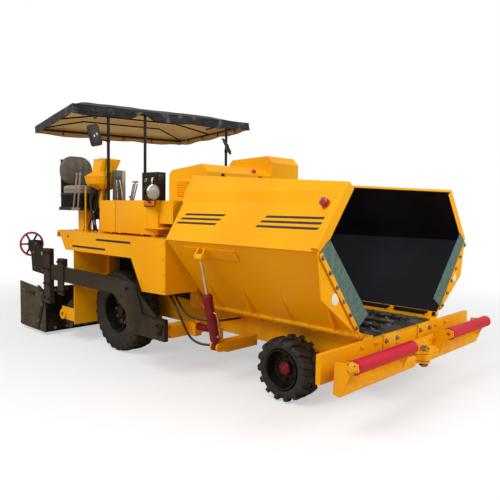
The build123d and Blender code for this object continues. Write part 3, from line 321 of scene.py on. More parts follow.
def turned(profile, start, direction, sides=32):
    """A turned shape: profile gives the distance along the axis and the radius there, from end to end."""
    direction, first, second = across(direction)
    corners, faces, rings = [], [], []
    for along, radius in profile:
        middle = Vector(start) + direction * along
        count = 1 if radius < 1e-6 else sides
        rings.append((len(corners), count))
        for i in range(count):
            angle = 2 * math.pi * i / sides
            corners.append(middle + (first * math.cos(angle) + second * math.sin(angle)) * radius)
    for (a, count_a), (b, count_b) in zip(rings, rings[1:]):
        for i in range(sides):
            j = (i + 1) % sides
            ring = [a + i % count_a, a + j % count_a, b + j % count_b, b + i % count_b]
            faces.append(tuple(dict.fromkeys(ring)))
    for (a, count), turn in ((rings[0], -1), (rings[-1], 1)):
        if count > 1:
            faces.append(tuple(range(a, a + count))[::turn])
    return corners, faces


def pipe(points, radius, sides=12):
    """A round bar bent along a line of points, mitred at each of them."""
    points = [Vector(point) for point in points]
    corners, faces = [], []
    first = None
    for i, point in enumerate(points):
        before = (point - points[i - 1]).normalized() if i else (points[1] - point).normalized()
        after = (points[i + 1] - point).normalized() if i + 1 < len(points) else before
        along = (before + after).normalized()
        first = along.orthogonal() if first is None else first - along * first.dot(along)
        first.normalize()
        second = along.cross(first)
        for k in range(sides):
            angle = 2 * math.pi * k / sides
            corners.append(point + (first * math.cos(angle) + second * math.sin(angle)) * radius)
    for i in range(len(points) - 1):
        for k in range(sides):
            n = (k + 1) % sides
            faces.append((i * sides + k, i * sides + n, (i + 1) * sides + n, (i + 1) * sides + k))
    last = (len(points) - 1) * sides
    return corners, faces + [tuple(range(sides - 1, -1, -1)), tuple(range(last, last + sides))]


def joined(name, shapes, bevel=0.0, smooth_below=35):
    """One mesh from several closed shapes, its sharp edges broken by a small bevel."""
    built = bmesh.new()
    for corners, faces in shapes:
        made = [built.verts.new(corner) for corner in corners]
        for face in faces:
            if len(face) > 2:
                built.faces.new([made[i] for i in face])
    bmesh.ops.recalc_face_normals(built, faces=built.faces)
    if bevel:
        sharp = [edge for edge in built.edges if edge.calc_face_angle(0) > math.radians(smooth_below)]
        bmesh.ops.bevel(built, geom=sharp, offset=bevel, segments=2, profile=0.5, affect="EDGES",
                        clamp_overlap=True)
    mesh = bpy.data.meshes.new(name)
    built.to_mesh(mesh)
    built.free()
    mesh.shade_smooth()
    mesh.set_sharp_from_angle(angle=math.radians(smooth_below))
    return mesh


def piece(name, shapes, material, body="chassis", bevel=0.0, smooth_below=35):
    """A piece made of closed shapes, on its body."""
    return mesh_piece(name, joined(name, shapes, bevel, smooth_below), material, body)


def new_tree(name, sizes):
    """A Geometry Nodes tree with named sizes as inputs; returns it with its input and output nodes."""
    tree = bpy.data.node_groups.new(name, "GeometryNodeTree")
    tree.interface.new_socket("Geometry", in_out="INPUT", socket_type="NodeSocketGeometry")
    for size, kind in sizes.items():
        tree.interface.new_socket(size, in_out="INPUT", socket_type=kind)
    tree.interface.new_socket("Geometry", in_out="OUTPUT", socket_type="NodeSocketGeometry")
    return tree, add(tree, "NodeGroupInput"), add(tree, "NodeGroupOutput")


def end_tree(tree, given, ending, geometry):
    """Real geometry and its material, as the last steps of a tree."""
    real = add(tree, "GeometryNodeRealizeInstances", {0: geometry}).outputs[0]
    painted = add(tree, "GeometryNodeSetMaterial", {"Geometry": real, "Material": given.outputs["Material"]})
    feed(ending, 0, painted.outputs[0])


def grown(name, carrier, tree, sizes, smooth_below=35):
    """Run a Geometry Nodes tree on a mesh and keep what it makes as a plain mesh."""
    temporary = bpy.data.objects.new(name, carrier)
    scene.collection.objects.link(temporary)
    modifier = temporary.modifiers.new("growth", "NODES")
    modifier.node_group = tree
    for socket in tree.interface.items_tree:
        if socket.in_out == "INPUT" and socket.name in sizes:
            modifier[socket.identifier] = sizes[socket.name]
    depsgraph = bpy.context.evaluated_depsgraph_get()
    mesh = bpy.data.meshes.new_from_object(temporary.evaluated_get(depsgraph))
    mesh.name = name
    temporary.modifiers.clear()
    bpy.data.objects.remove(temporary)
    bpy.data.meshes.remove(carrier)
    mesh.shade_smooth()
    mesh.set_sharp_from_angle(angle=math.radians(smooth_below))
    return mesh


# Hexagon bolts: a washer, the head and a stub of thread, set on points that carry the way they face.
bolt_tree, given, ending = new_tree("hexagon_bolts", {
    "Head Width": "NodeSocketFloat", "Seed": "NodeSocketInt", "Material": "NodeSocketMaterial"})
width = given.outputs["Head Width"]
parts = []
# sides, then radius, height and middle as shares of the head's width, of the washer, the head and the thread
BOLT_PARTS = ((20, 0.95, 0.14, 0.07), (6, 0.577, 0.62, 0.42), (12, 0.27, 0.3, 0.85))
for sides, radius_share, height_share, lift_share in BOLT_PARTS:
    bar = add(bolt_tree, "GeometryNodeMeshCylinder", {
        "Vertices": sides, "Radius": times(width, radius_share), "Depth": times(width, height_share)})
    lift = add(bolt_tree, "ShaderNodeCombineXYZ", {"Z": times(width, lift_share)}).outputs[0]
    parts.append(add(bolt_tree, "GeometryNodeTransform", {
        "Geometry": bar.outputs["Mesh"], "Translation": lift}).outputs[0])
bolt = add(bolt_tree, "GeometryNodeJoinGeometry")
for part in reversed(parts):
    feed(bolt, 0, part)
facing = add(bolt_tree, "GeometryNodeInputNamedAttribute", {"Name": "facing"}, data_type="FLOAT_VECTOR")
upright = add(bolt_tree, "FunctionNodeAlignRotationToVector", {"Vector": facing.outputs[0]}, axis="Z")
spin = add(bolt_tree, "FunctionNodeRandomValue", {"Max": 1.05, "Seed": given.outputs["Seed"]},
           data_type="FLOAT")
spin_about = add(bolt_tree, "ShaderNodeCombineXYZ", {"Z": spin.outputs[1]}).outputs[0]
spun = add(bolt_tree, "FunctionNodeRotateRotation", {"Rotation": upright.outputs[0], "Rotate By": spin_about},
           rotation_space="LOCAL")
placed = add(bolt_tree, "GeometryNodeInstanceOnPoints", {
    "Points": given.outputs["Geometry"], "Instance": bolt.outputs[0], "Rotation": spun.outputs[0]})
end_tree(bolt_tree, given, ending, placed.outputs[0])

# Zinc plate: pale grey with a faint yellow cast, half dull, rubbed darker in patches.
zinc_plate = mottled("zinc_plated_steel", 0.38, "#B9B6A8", "#807C70", 0.03, 0.35, (0.003, 0.0002, 0.4),
                     metallic=1.0)


def bolts(name, places, material, body="chassis", head=0.024, seed=1):
    """Hexagon bolts at the places given, each with the way it faces."""
    carrier = bpy.data.meshes.new(name)
    carrier.from_pydata([at for at, facing in places], [], [])
    faced = carrier.attributes.new("facing", "FLOAT_VECTOR", "POINT")
    for value, (at, facing) in zip(faced.data, places):
        value.vector = facing
    mesh = grown(name, carrier, bolt_tree, {"Head Width": head, "Seed": seed, "Material": material})
    return mesh_piece(name, mesh, material, body)


FORWARD, UP = (1, 0, 0), (0, 0, 1)
BEAM_FACE_X = 2.545
frame_bolts = []
for y in (-0.72, -0.52, 0.52, 0.72):
    frame_bolts += [((BEAM_FACE_X, y, 0.462), FORWARD), ((BEAM_FACE_X, y, 0.604), FORWARD)]
for side in SIDES.values():
    for x in (1.32, 1.50, 2.15, 2.36):
        frame_bolts.append(((x, side * 0.520, 0.60), (0, side, 0)))
bolts("frame_bolts", frame_bolts, yellow_enamel)

# Plates on the cross-beam beside the push beam's pin, each with a radiused lower corner and four bolts.
beam_plates = []
plate_bolts = []
for low, high in ((-0.420, -0.165), (0.165, 0.420)):
    corner = [(high - 0.05 + 0.05 * math.sin(a), 0.47 - 0.05 * math.cos(a)) for a in (0, 0.4, 0.8, 1.2, 1.57)]
    outline = [(low, 0.42)] + corner + [(high, 0.60), (high - 0.07, 0.655), (low, 0.655)]
    beam_plates.append(plate(outline, 0.012, on_front(BEAM_FACE_X)))
    for y in (low + 0.035, high - 0.045):
        plate_bolts += [((BEAM_FACE_X + 0.012, y, 0.475), FORWARD), ((BEAM_FACE_X + 0.012, y, 0.60), FORWARD)]
piece("cross_beam_plates", beam_plates, yellow_enamel, bevel=0.002)
bolts("cross_beam_plate_bolts", plate_bolts, zinc_plate, seed=2)

# ---------------- axles and steering knuckles
# Fabricated and machined steel: the front axle and knuckles in the body's yellow, the rear axle
# in satin black-brown.
dark_enamel = enamel("dark_brown_chassis_enamel", "#352E28", "#29231F", roughness=0.36, dust=0.10)
for name in ("front_axle", "steering_knuckle_right", "steering_knuckle_left"):
    dress(name, yellow_enamel)
dress("rear_axle", dark_enamel)
dress("engine_block", dark_enamel)


def circle(count, start=0.0):
    """Angles evenly round a full turn, the first one a share of a step on."""
    return [2 * math.pi * (i + start) / count for i in range(count)]


def around(centre, radius, angles, facing):
    """Places on a circle round an axle that runs across the machine, with the way they all face."""
    return [((centre[0] + radius * math.cos(angle), centre[1], centre[2] + radius * math.sin(angle)), facing)
            for angle in angles]


FRONT_WHEEL, REAR_WHEEL = (1.866, 0.765, 0.310), (-0.450, 0.865, 0.490)      # middles of the left-hand wheels
FLANGE_FACE_Y, FLANGE_CIRCLE, FLANGE_BOLTS = 0.575, 0.088, 10
flange_bolts = []
for side in SIDES.values():
    flange = (REAR_WHEEL[0], side * FLANGE_FACE_Y, REAR_WHEEL[2])
    flange_bolts += around(flange, FLANGE_CIRCLE, circle(FLANGE_BOLTS), (0, side, 0))
bolts("axle_flange_bolts", flange_bolts, zinc_plate, head=0.020, seed=3)

# ---------------- tyres
# Moulded rubber: a solid, lugged pair in front for soft ground, large pneumatic block treads at the rear.
# Each is one turned carcass, with its lugs repeated round the axle.
tyre_rubber, shader, place = finish("moulded_tyre_rubber", 0.62)
worn = cloudy(place, 0.07, 0.40, 0.75, 6.0)
tone = over(worn, "#16151A", "#2B2827")
dusty = times(cloudy(place, 0.025, 0.48, 0.8, 5.0), 0.35)
feed(shader, "Base Color", over(dusty, tone, "#4A4038"))
relief(shader, cloudy(place, 0.006, 0.25, 0.75, 6.0), 0.0008, 0.6)

# A shape repeated round an axis: it is turned about the centre, a number of times in the full circle.
ring_tree, given, ending = new_tree("repeated_round_an_axis", {
    "Count": "NodeSocketInt", "Centre": "NodeSocketVector", "Axis": "NodeSocketVector",
    "Material": "NodeSocketMaterial"})
to_centre = add(ring_tree, "ShaderNodeVectorMath", {0: given.outputs["Centre"], 3: -1.0},
                operation="SCALE").outputs[0]
centred = add(ring_tree, "GeometryNodeTransform", {
    "Geometry": given.outputs["Geometry"], "Translation": to_centre})
posts = add(ring_tree, "GeometryNodeMeshLine", {"Count": given.outputs["Count"], "Offset": (0, 0, 0)})
index = add(ring_tree, "GeometryNodeInputIndex").outputs[0]
step = worked("DIVIDE", 2 * math.pi, given.outputs["Count"])
turn = add(ring_tree, "ShaderNodeVectorMath", {0: given.outputs["Axis"], 3: times(index, step)},
           operation="SCALE").outputs[0]
copies = add(ring_tree, "GeometryNodeInstanceOnPoints", {
    "Points": posts.outputs["Mesh"], "Instance": centred.outputs[0], "Rotation": turn})
back = add(ring_tree, "GeometryNodeTransform", {
    "Geometry": copies.outputs[0], "Translation": given.outputs["Centre"]})
end_tree(ring_tree, given, ending, back.outputs[0])


def ring_shape(section, centre, side, sides=64):
    """A closed section, as distance outwards and radius, turned about a wheel's axle."""
    corners = []
    for angle in circle(sides):
        for out, radius in section:
            corners.append((centre[0] + radius * math.cos(angle), centre[1] + side * out,
                            centre[2] + radius * math.sin(angle)))
    count = len(section)
    faces = [(i * count + k, i * count + (k + 1) % count, (i + 1) % sides * count + (k + 1) % count,
              (i + 1) % sides * count + k) for i in range(sides) for k in range(count)]
    return corners, faces


def lug_shape(inner, outer, half_width, slants, centre, side):
    """One tread lug: points across the tyre, under and on the rubber, each with the angle it slants to."""
    corners, faces = [], []
    for (out, radius), (top_out, top_radius), slant in zip(inner, outer, slants):
        for point_out, point_radius, share in ((out, radius, 1.15), (top_out, top_radius, 1.0)):
            for way in (-1, 1):
                angle = math.pi / 2 + slant + way * half_width * share / point_radius
                corners.append((centre[0] + point_radius * math.cos(angle), centre[1] + side * point_out,
                                centre[2] + point_radius * math.sin(angle)))
    for i in range(len(inner) - 1):
        a, b = i * 4, i * 4 + 4
        faces += [(a, a + 1, b + 1, b), (a + 3, a + 2, b + 2, b + 3), (a + 2, a, b, b + 2),
                  (a + 1, a + 3, b + 3, b + 1)]
    last = (len(inner) - 1) * 4
    return corners, faces + [(0, 2, 3, 1), (last, last + 1, last + 3, last + 2)]


# distance outwards and radius of each tyre's section; its lugs' under and over, slants, half width, count
TYRES = {
    "front": dict(
        centre=FRONT_WHEEL,
        section=((-0.103, 0.1705), (-0.116, 0.183), (-0.119, 0.207), (-0.117, 0.228), (-0.108, 0.243),
                 (-0.085, 0.250), (0, 0.252), (0.085, 0.250), (0.108, 0.243), (0.117, 0.228), (0.119, 0.207),
                 (0.116, 0.183), (0.103, 0.1705)),
        under=((0.006, 0.242), (0.060, 0.242), (0.095, 0.238), (0.108, 0.226), (0.110, 0.205)),
        over=((0.006, 0.272), (0.065, 0.2735), (0.1215, 0.266), (0.1265, 0.238), (0.1225, 0.205)),
        slants=(-0.14, -0.03, 0.03, 0.05, 0.06), half_width=0.022, count=15),
    "rear": dict(
        centre=REAR_WHEEL,
        section=((-0.128, 0.2255), (-0.144, 0.249), (-0.152, 0.310), (-0.150, 0.373), (-0.140, 0.418),
                 (-0.122, 0.439), (-0.064, 0.444), (-0.060, 0.435), (-0.048, 0.435), (-0.044, 0.4445),
                 (0, 0.445), (0.044, 0.4445), (0.048, 0.435), (0.060, 0.435), (0.064, 0.444), (0.122, 0.439),
                 (0.140, 0.418), (0.150, 0.373), (0.152, 0.310), (0.150, 0.266), (0.144, 0.249),
                 (0.128, 0.2255)),
        under=((0.010, 0.435), (0.070, 0.435), (0.118, 0.428), (0.132, 0.408), (0.138, 0.376)),
        over=((0.010, 0.4530), (0.075, 0.4535), (0.134, 0.443), (0.1515, 0.408), (0.1535, 0.372)),
        slants=(-0.05, -0.01, 0.01, 0.02, 0.02), half_width=0.022, count=26),
}
for wheel, tyre in TYRES.items():
    for label, side in SIDES.items():
        centre = (tyre["centre"][0], side * tyre["centre"][1], tyre["centre"][2])
        half_pitch = Matrix.Rotation(math.pi / tyre["count"], 4, "Y")
        inner_lug = lug_shape(tyre["under"], tyre["over"], tyre["half_width"], tyre["slants"], centre, side)
        outer_lug = lug_shape([(-out, radius) for out, radius in tyre["under"]],
                              [(-out, radius) for out, radius in tyre["over"]],
                              tyre["half_width"], tyre["slants"], centre, side)
        shifted = [half_pitch @ (Vector(corner) - Vector(centre)) + Vector(centre) for corner in outer_lug[0]]
        lug = joined("lug", [inner_lug, (shifted, outer_lug[1])], bevel=0.004)
        lugs = grown("lugs", lug, ring_tree, {"Count": tyre["count"], "Centre": centre, "Axis": (0, 1, 0),
                                              "Material": tyre_rubber})
        # the sidewalls and the grooves round the middle are one turned section
        carcass = joined("carcass", [ring_shape(tyre["section"], centre, side)])
        both = bmesh.new()
        both.from_mesh(carcass)
        both.from_mesh(lugs)
        mesh = bpy.data.meshes.new(f"{wheel}_tread_tyre_{label}")
        both.to_mesh(mesh)
        both.free()
        mesh.shade_smooth()
        mesh.set_sharp_from_angle(angle=math.radians(38))
        obj = mesh_piece(mesh.name, mesh, tyre_rubber, f"{wheel}_wheel_{label}")
        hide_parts(f"{wheel}_tyre_{label}")

# ---------------- rims and hubs
# Pressed steel discs, painted black, bolted to turned hubs.
# The front hubs have a maroon cap and black nuts, the rear ones a black cap and bright nuts.
black_paint = enamel("black_chassis_paint", "#121214", "#1B1A1A", roughness=0.36, dust=0.07)
maroon_enamel = enamel("maroon_enamel", "#8C1A2A", "#761625", roughness=0.30, dust=0.15)
HUB_SIZES = {      # bolt circle, nut width, nuts, rim's radius and half width, cap's radius and height
    "front": (0.100, 0.022, 8, 0.170, 0.125, 0.049, 0.014),
    "rear": (0.140, 0.028, 10, 0.225, 0.155, 0.088, 0.034),
}
NUT_FACE, CAP_FACE = 0.037, 0.061
for wheel, (circle_radius, nut, count, edge, half, reach, dome) in HUB_SIZES.items():
    front = wheel == "front"
    cap_paint, nut_paint = (maroon_enamel, black_paint) if front else (black_paint, zinc_plate)
    for label, side in SIDES.items():
        dress(f"{wheel}_rim_{label}", black_paint)
        body = f"{wheel}_wheel_{label}"
        x, y, z = TYRES[wheel]["centre"]
        axle = (x, side * y, z)
        outwards = (0, side, 0)
        nuts = around((x, axle[1] + side * NUT_FACE, z), circle_radius, circle(count), outwards)
        bolts(f"{wheel}_wheel_nuts_{label}", nuts, nut_paint, body, head=nut, seed=4)
        # lock ring pressed into the rim's edge, and the cap over the hub with its own small screws
        lock = [(half - 0.016, edge - 0.012), (half - 0.009, edge - 0.016), (half - 0.001, edge - 0.010),
                (half - 0.001, edge - 0.001), (half - 0.016, edge - 0.001)]
        piece(f"{wheel}_lock_ring_{label}", [ring_shape(lock, axle, side, 72)], black_paint,
              body, smooth_below=50)
        cap = [(CAP_FACE - 0.020, reach + 0.004), (CAP_FACE + 0.004, reach + 0.004),
               (CAP_FACE + 0.008, reach), (CAP_FACE + 0.009, reach * 0.72),
               (CAP_FACE + dome * 0.8, reach * 0.66), (CAP_FACE + dome * 0.94, reach * 0.50),
               (CAP_FACE + dome, reach * 0.22), (CAP_FACE + dome, 0)]
        profile = [(0, 0)] + [(out - cap[0][0], radius) for out, radius in cap]
        piece(f"{wheel}_hub_cap_{label}", [turned(profile, (x, axle[1] + side * cap[0][0], z), outwards, 40)],
              cap_paint, body, smooth_below=50)
        screws = around((x, axle[1] + side * (CAP_FACE + 0.009), z), reach * 0.86, circle(5, 0.25), outwards)
        bolts(f"{wheel}_cap_screws_{label}", screws, cap_paint, body, head=0.014, seed=5)


def rect(u0, v0, u1, v1):
    """The outline of a rectangle between two corners."""
    return [(u0, v0), (u1, v0), (u1, v1), (u0, v1)]


def on_side(y, side=1):
    """Places a plate's outline along the machine, upright, and its thickness outwards from y on a side."""
    return lambda u, v, w: (u, side * (y + w), v)


# Inner walls of the rear wheel arches: black sheet between the deck and the frame. Its black is painted
# shade, put where the arch behind the rear wheel lies in shadow.
arch_shade_outline = rect(-0.950, 0.780, 0.080, 1.220)
for label, side in SIDES.items():
    ribs = [plate(rect(x, 0.790, x + 0.030, 1.210), 0.006, on_side(0.645, side))
            for x in (-0.850, -0.450, -0.060)]
    piece(f"wheel_arch_shade_sheet_{label}", [plate(arch_shade_outline, 0.003, on_side(0.6415, side))] + ribs, black_paint,
          bevel=0.0008)

# ---------------- push beam and rollers
# A folded plate beam that swings on one pin, with two smooth steel rollers for a lorry's wheels to push on.
# The rollers are sprayed crimson over turned tube, rubbed to a pink bloom where the tyres run.
dress("push_beam", yellow_enamel)
crimson_enamel, shader, place = finish("crimson_roller_enamel", 0.40, specular=0.22)
along_roller = cloudy(place, 0.16, 0.40, 0.72, 3.0, (1, 0.35, 1))
tone = over(times(along_roller, 0.45), "#C2102A", "#CF2F47")
scratches = times(cloudy(place, 0.012, 0.62, 0.80, 4.0, (1, 0.1, 1)), 0.5)
feed(shader, "Base Color", over(scratches, tone, "#8E2636"))
relief(shader, cloudy(place, 0.02, 0.3, 0.7, 5.0), 0.0006, 0.4)
ROLLER_X, ROLLER_Z = 2.762, 0.580
OUTER_PLATE_FACE = 1.180
CORNER_ANGLES = (0.785, 2.356, 3.927, 5.498)


def solid(profile, start, direction, sides=32):
    """A turned shape closed at both ends: the profile's ends run straight in to its axis."""
    return turned([(0, 0)] + profile + [(profile[-1][0], 0)], start, direction, sides)


for label, side in SIDES.items():
    dress(f"push_roller_{label}", crimson_enamel)
    # end discs with a pressed rim, let into the tube's ends
    discs = [solid([(0, 0.050), (0.004, 0.053), (0.010, 0.053), (0.012, 0.050)],
                   (ROLLER_X, side * y, ROLLER_Z), (0, side * way, 0), 40)
             for y, way in ((0.349, -1), (1.151, 1))]
    piece(f"roller_end_discs_{label}", discs, crimson_enamel, f"push_roller_{label}",
          smooth_below=50)
    # bearing housings outside the plates, with four screws each
    bearing = (ROLLER_X, side * OUTER_PLATE_FACE, ROLLER_Z)
    housing = solid([(0, 0.040), (0.012, 0.040), (0.015, 0.036), (0.022, 0.028), (0.026, 0.020)], bearing,
                    (0, side, 0), 32)
    screws = around((ROLLER_X, bearing[1] + side * 0.012, ROLLER_Z), 0.031, CORNER_ANGLES, (0, side, 0))
    piece(f"roller_bearings_{label}", [housing], yellow_enamel, "push_beam", smooth_below=50)
    bolts(f"roller_bearing_screws_{label}", screws, zinc_plate, "push_beam", head=0.013,
          seed=6)

# Castle nut and washers on the beam's pin, and stiffening ribs inside the beam's channel.
top_nut = solid([(0, 0.042), (0.006, 0.042), (0.006, 0.030), (0.024, 0.030), (0.026, 0.027)],
                (2.700, 0, 0.494), UP, 6)
low_nut = solid([(0, 0.042), (0.005, 0.042), (0.005, 0.027), (0.018, 0.027)],
                (2.700, 0, 0.362), (0, 0, -1), 6)
piece("push_beam_pin_nuts", [top_nut, low_nut], zinc_plate, bevel=0.0015)
CHANNEL_X, RIB_LOW, RIB_HIGH = 2.631, 0.470, 0.553
ribs = []
for side in SIDES.values():
    for y in (0.50, 0.70, 0.90):
        ribs.append(plate([(CHANNEL_X + 0.0002, RIB_LOW), (CHANNEL_X + 0.0002, RIB_HIGH), (2.655, RIB_LOW)],
                          0.010, on_side(side * y)))
piece("push_beam_ribs", ribs, yellow_enamel, "push_beam", bevel=0.001)
beam_bolts = [((CHANNEL_X, side * y, 0.530), FORWARD) for side in SIDES.values()
              for y in (0.24, 0.295, 0.60, 0.80, 1.0)]
bolts("push_beam_bolts", beam_bolts, yellow_enamel, "push_beam", head=0.020, seed=7)

# ---------------- hopper floor and rear wall
# Wear plate with bolted flight bars that two chains drag over it. Hot asphalt has burnished it
# to a dark, oily film.
worn_steel, shader, place = finish("asphalt_filmed_wear_plate", 0.45, metallic=0.1, specular=0.2)
tone = over(cloudy(place, 0.22, 0.35, 0.70, 5.0), "#3A3633", "#554E46")
scraped = times(cloudy(place, 0.07, 0.52, 0.70, 7.0, (0.35, 1, 1)), 0.75)
feed(shader, "Base Color", over(scraped, tone, "#8C867D"))
feed(shader, "Roughness", between(cloudy(place, 0.1, 0.3, 0.7), 0.38, 0.68))
relief(shader, cloudy(place, 0.012, 0.3, 0.8, 6.0), 0.0012, 0.5)
hopper_film, shader, place = finish("oily_asphalt_film", 0.58, specular=0.12)
tone = over(cloudy(place, 0.5, 0.30, 0.75, 3.0), "#08080C", "#12131B")
feed(shader, "Base Color", over(times(cloudy(place, 0.03, 0.60, 0.85, 6.0), 0.4), tone, "#33323A"))
relief(shader, cloudy(place, 0.02, 0.3, 0.7, 5.0), 0.001, 0.35)
dress("hopper_floor", worn_steel)
dress("hopper_rear_wall", hopper_film)

# A shape repeated in a row: each copy is one step on from the last.
row_tree, given, ending = new_tree("repeated_in_a_row", {
    "Count": "NodeSocketInt", "Step": "NodeSocketVector", "Material": "NodeSocketMaterial"})
posts = add(row_tree, "GeometryNodeMeshLine", {
    "Count": given.outputs["Count"], "Offset": given.outputs["Step"]})
copies = add(row_tree, "GeometryNodeInstanceOnPoints", {
    "Points": posts.outputs["Mesh"], "Instance": given.outputs["Geometry"]})
end_tree(row_tree, given, ending, copies.outputs[0])


def row(name, shapes, count, step, material, body="chassis", bevel=0.0):
    """A small shape repeated in a row, as one piece."""
    mesh = grown(name, joined(name, shapes, bevel), row_tree,
                 {"Count": count, "Step": step, "Material": material})
    return mesh_piece(name, mesh, material, body)


def rod(length, radius, start, direction, sides=32):
    """A plain round bar."""
    return solid([(0, radius), (length, radius)], start, direction, sides)


# The two drag chains: flat side links with rollers between them, 75 mm a link, just above the floor.
CHAIN_X, CHAIN_Y, CHAIN_Z = 2.365, 0.250, 0.668      # the foremost link's middle
CHAIN_PITCH, CHAIN_LINKS = 0.075, 44
for label, side in SIDES.items():
    y = side * CHAIN_Y
    outline = [(CHAIN_X + along, CHAIN_Z + up) for along, up in (
        (-0.030, -0.013), (0.048, -0.013), (0.056, 0), (0.048, 0.010), (-0.030, 0.010), (-0.038, 0))]
    link = [plate(outline, 0.006, on_side(y + offset)) for offset in (-0.026, 0.020)]
    link.append(rod(0.040, 0.010, (CHAIN_X, y - 0.020, CHAIN_Z), (0, 1, 0), 12))
    row(f"drag_chain_{label}", link, CHAIN_LINKS, (-CHAIN_PITCH, 0, 0), worn_steel,
        bevel=0.0015)
# Bolts that hold the flight bars to the chains, and the ones along the rear wall's foot.
BAR_X, BAR_PITCH, BARS = 2.375, 0.150, 22      # the foremost flight bar, and how they follow
bar_bolts = [((BAR_X - BAR_PITCH * i, y, 0.662), UP) for i in range(BARS) for y in (-0.32, -0.18, 0.18, 0.32)]
bolts("flight_bar_bolts", bar_bolts, worn_steel, head=0.018, seed=8)
REAR_WALL_X = 0.7672
wall_bolts = [((REAR_WALL_X, side * y, z), FORWARD) for side in SIDES.values()
              for y, z in ((0.55, 0.75), (0.62, 0.90), (0.75, 1.05), (0.55, 1.72), (0.30, 1.84),
                           (0.10, 1.84))]
bolts("rear_wall_bolts", wall_bolts, hopper_film, head=0.022, seed=9)

# ---------------- hopper wings
# Folded and welded plate, hinged along the hopper's floor and sprayed yellow.
# Inside, hot asphalt has left a dark film with a cool shine.
KNEE, HINGE = Vector((1.220, 1.360)), Vector((0.664, 0.672))
UPPER = (Vector((0.847, 1.840)) - KNEE).normalized()
LOWER = (KNEE - HINGE).normalized()
LOWER_LENGTH = (KNEE - HINGE).length
WING_FRONT = 2.490


def on_upper(side, x, up, proud=0.0):
    """A point on the outside of a wing's upper panel, up from the knee."""
    point = KNEE + UPPER * up + Vector((UPPER[1], -UPPER[0])) * proud
    return Vector((x, side * point[0], point[1]))


def on_lower(side, x, up, proud=0.0):
    """A point on the outside of a wing's lower panel, up from the hinge."""
    point = HINGE + LOWER * up + Vector((LOWER[1], -LOWER[0])) * proud
    return Vector((x, side * point[0], point[1]))


for label, side in SIDES.items():
    wing_paint, shader, place = finish(f"wing_enamel_{label}", 0.34, specular=0.2)
    tone = over(cloudy(place, 0.9, 0.3, 0.75, 2.0), YELLOW, DEEP_YELLOW)
    streaks = times(cloudy(place, 0.05, 0.60, 0.85, 3.0, (1, 1, 0.15)), 0.12)
    tone = over(streaks, tone, ROAD_DUST)
    film = over(cloudy(place, 0.5, 0.30, 0.75, 3.0), "#09090E", "#14151F")
    film = over(times(cloudy(place, 0.03, 0.60, 0.85, 6.0), 0.4), film, "#30303A")
    surface = add(place, "ShaderNodeTexCoord").outputs["Normal"]
    across_machine = add(place, "ShaderNodeSeparateXYZ", {0: surface}).outputs[1]
    inside = worked("GREATER_THAN", times(across_machine, float(-side)), 0.35)
    # only what faces the load is filmed: the stiffeners and gussets outside also have faces turned inwards
    y = times(add(place, "ShaderNodeSeparateXYZ", {0: place}).outputs[1], float(side))
    z = height_of(place)
    upper_out = worked("ADD", times(y, UPPER[1]), times(z, -UPPER[0]))
    panel_out = KNEE[0] * UPPER[1] - (KNEE[1] - ROAD_HEIGHT) * UPPER[0] - 0.0005
    inside = times(inside, worked("LESS_THAN", upper_out, panel_out))
    feed(shader, "Base Color", over(inside, tone, film))
    feed(shader, "Roughness", between(inside, 0.32, 0.60))
    relief(shader, cloudy(place, 0.004, 0.2, 0.8, 1.0), 0.0002, 0.35)
    dress(f"wing_{label}", wing_paint)

# Three pinstripes on each wing, cut vinyl 22 mm wide. The middle of each stripe is left out, bare paint.
decal_vinyl = mottled("cut_vinyl_decal", 0.45, "#1C1A18", "#2A2622", 0.05, 0.4)
STRIPE_WIDTH, STRIPE_LEAN, DECAL_THICKNESS = 0.022, 0.010, 0.0006
STRIPES = ((0.280, 0.800, 1.335), (0.231, 0.775, 1.310), (0.182, 0.750, 1.285),
           (0.280, 1.815, 2.405), (0.231, 1.790, 2.395), (0.182, 1.765, 2.385))
for label, side in SIDES.items():
    strips = []
    for up, rear, front in STRIPES:
        outline = [(rear - STRIPE_LEAN, up), (front - STRIPE_LEAN, up),
                   (front + STRIPE_LEAN, up + STRIPE_WIDTH), (rear + STRIPE_LEAN, up + STRIPE_WIDTH)]
        strips.append(plate(outline, DECAL_THICKNESS, lambda u, v, w: on_upper(side, u, v, 0.0002 + w)))
    piece(f"wing_pinstripes_{label}", strips, decal_vinyl, f"wing_{label}")

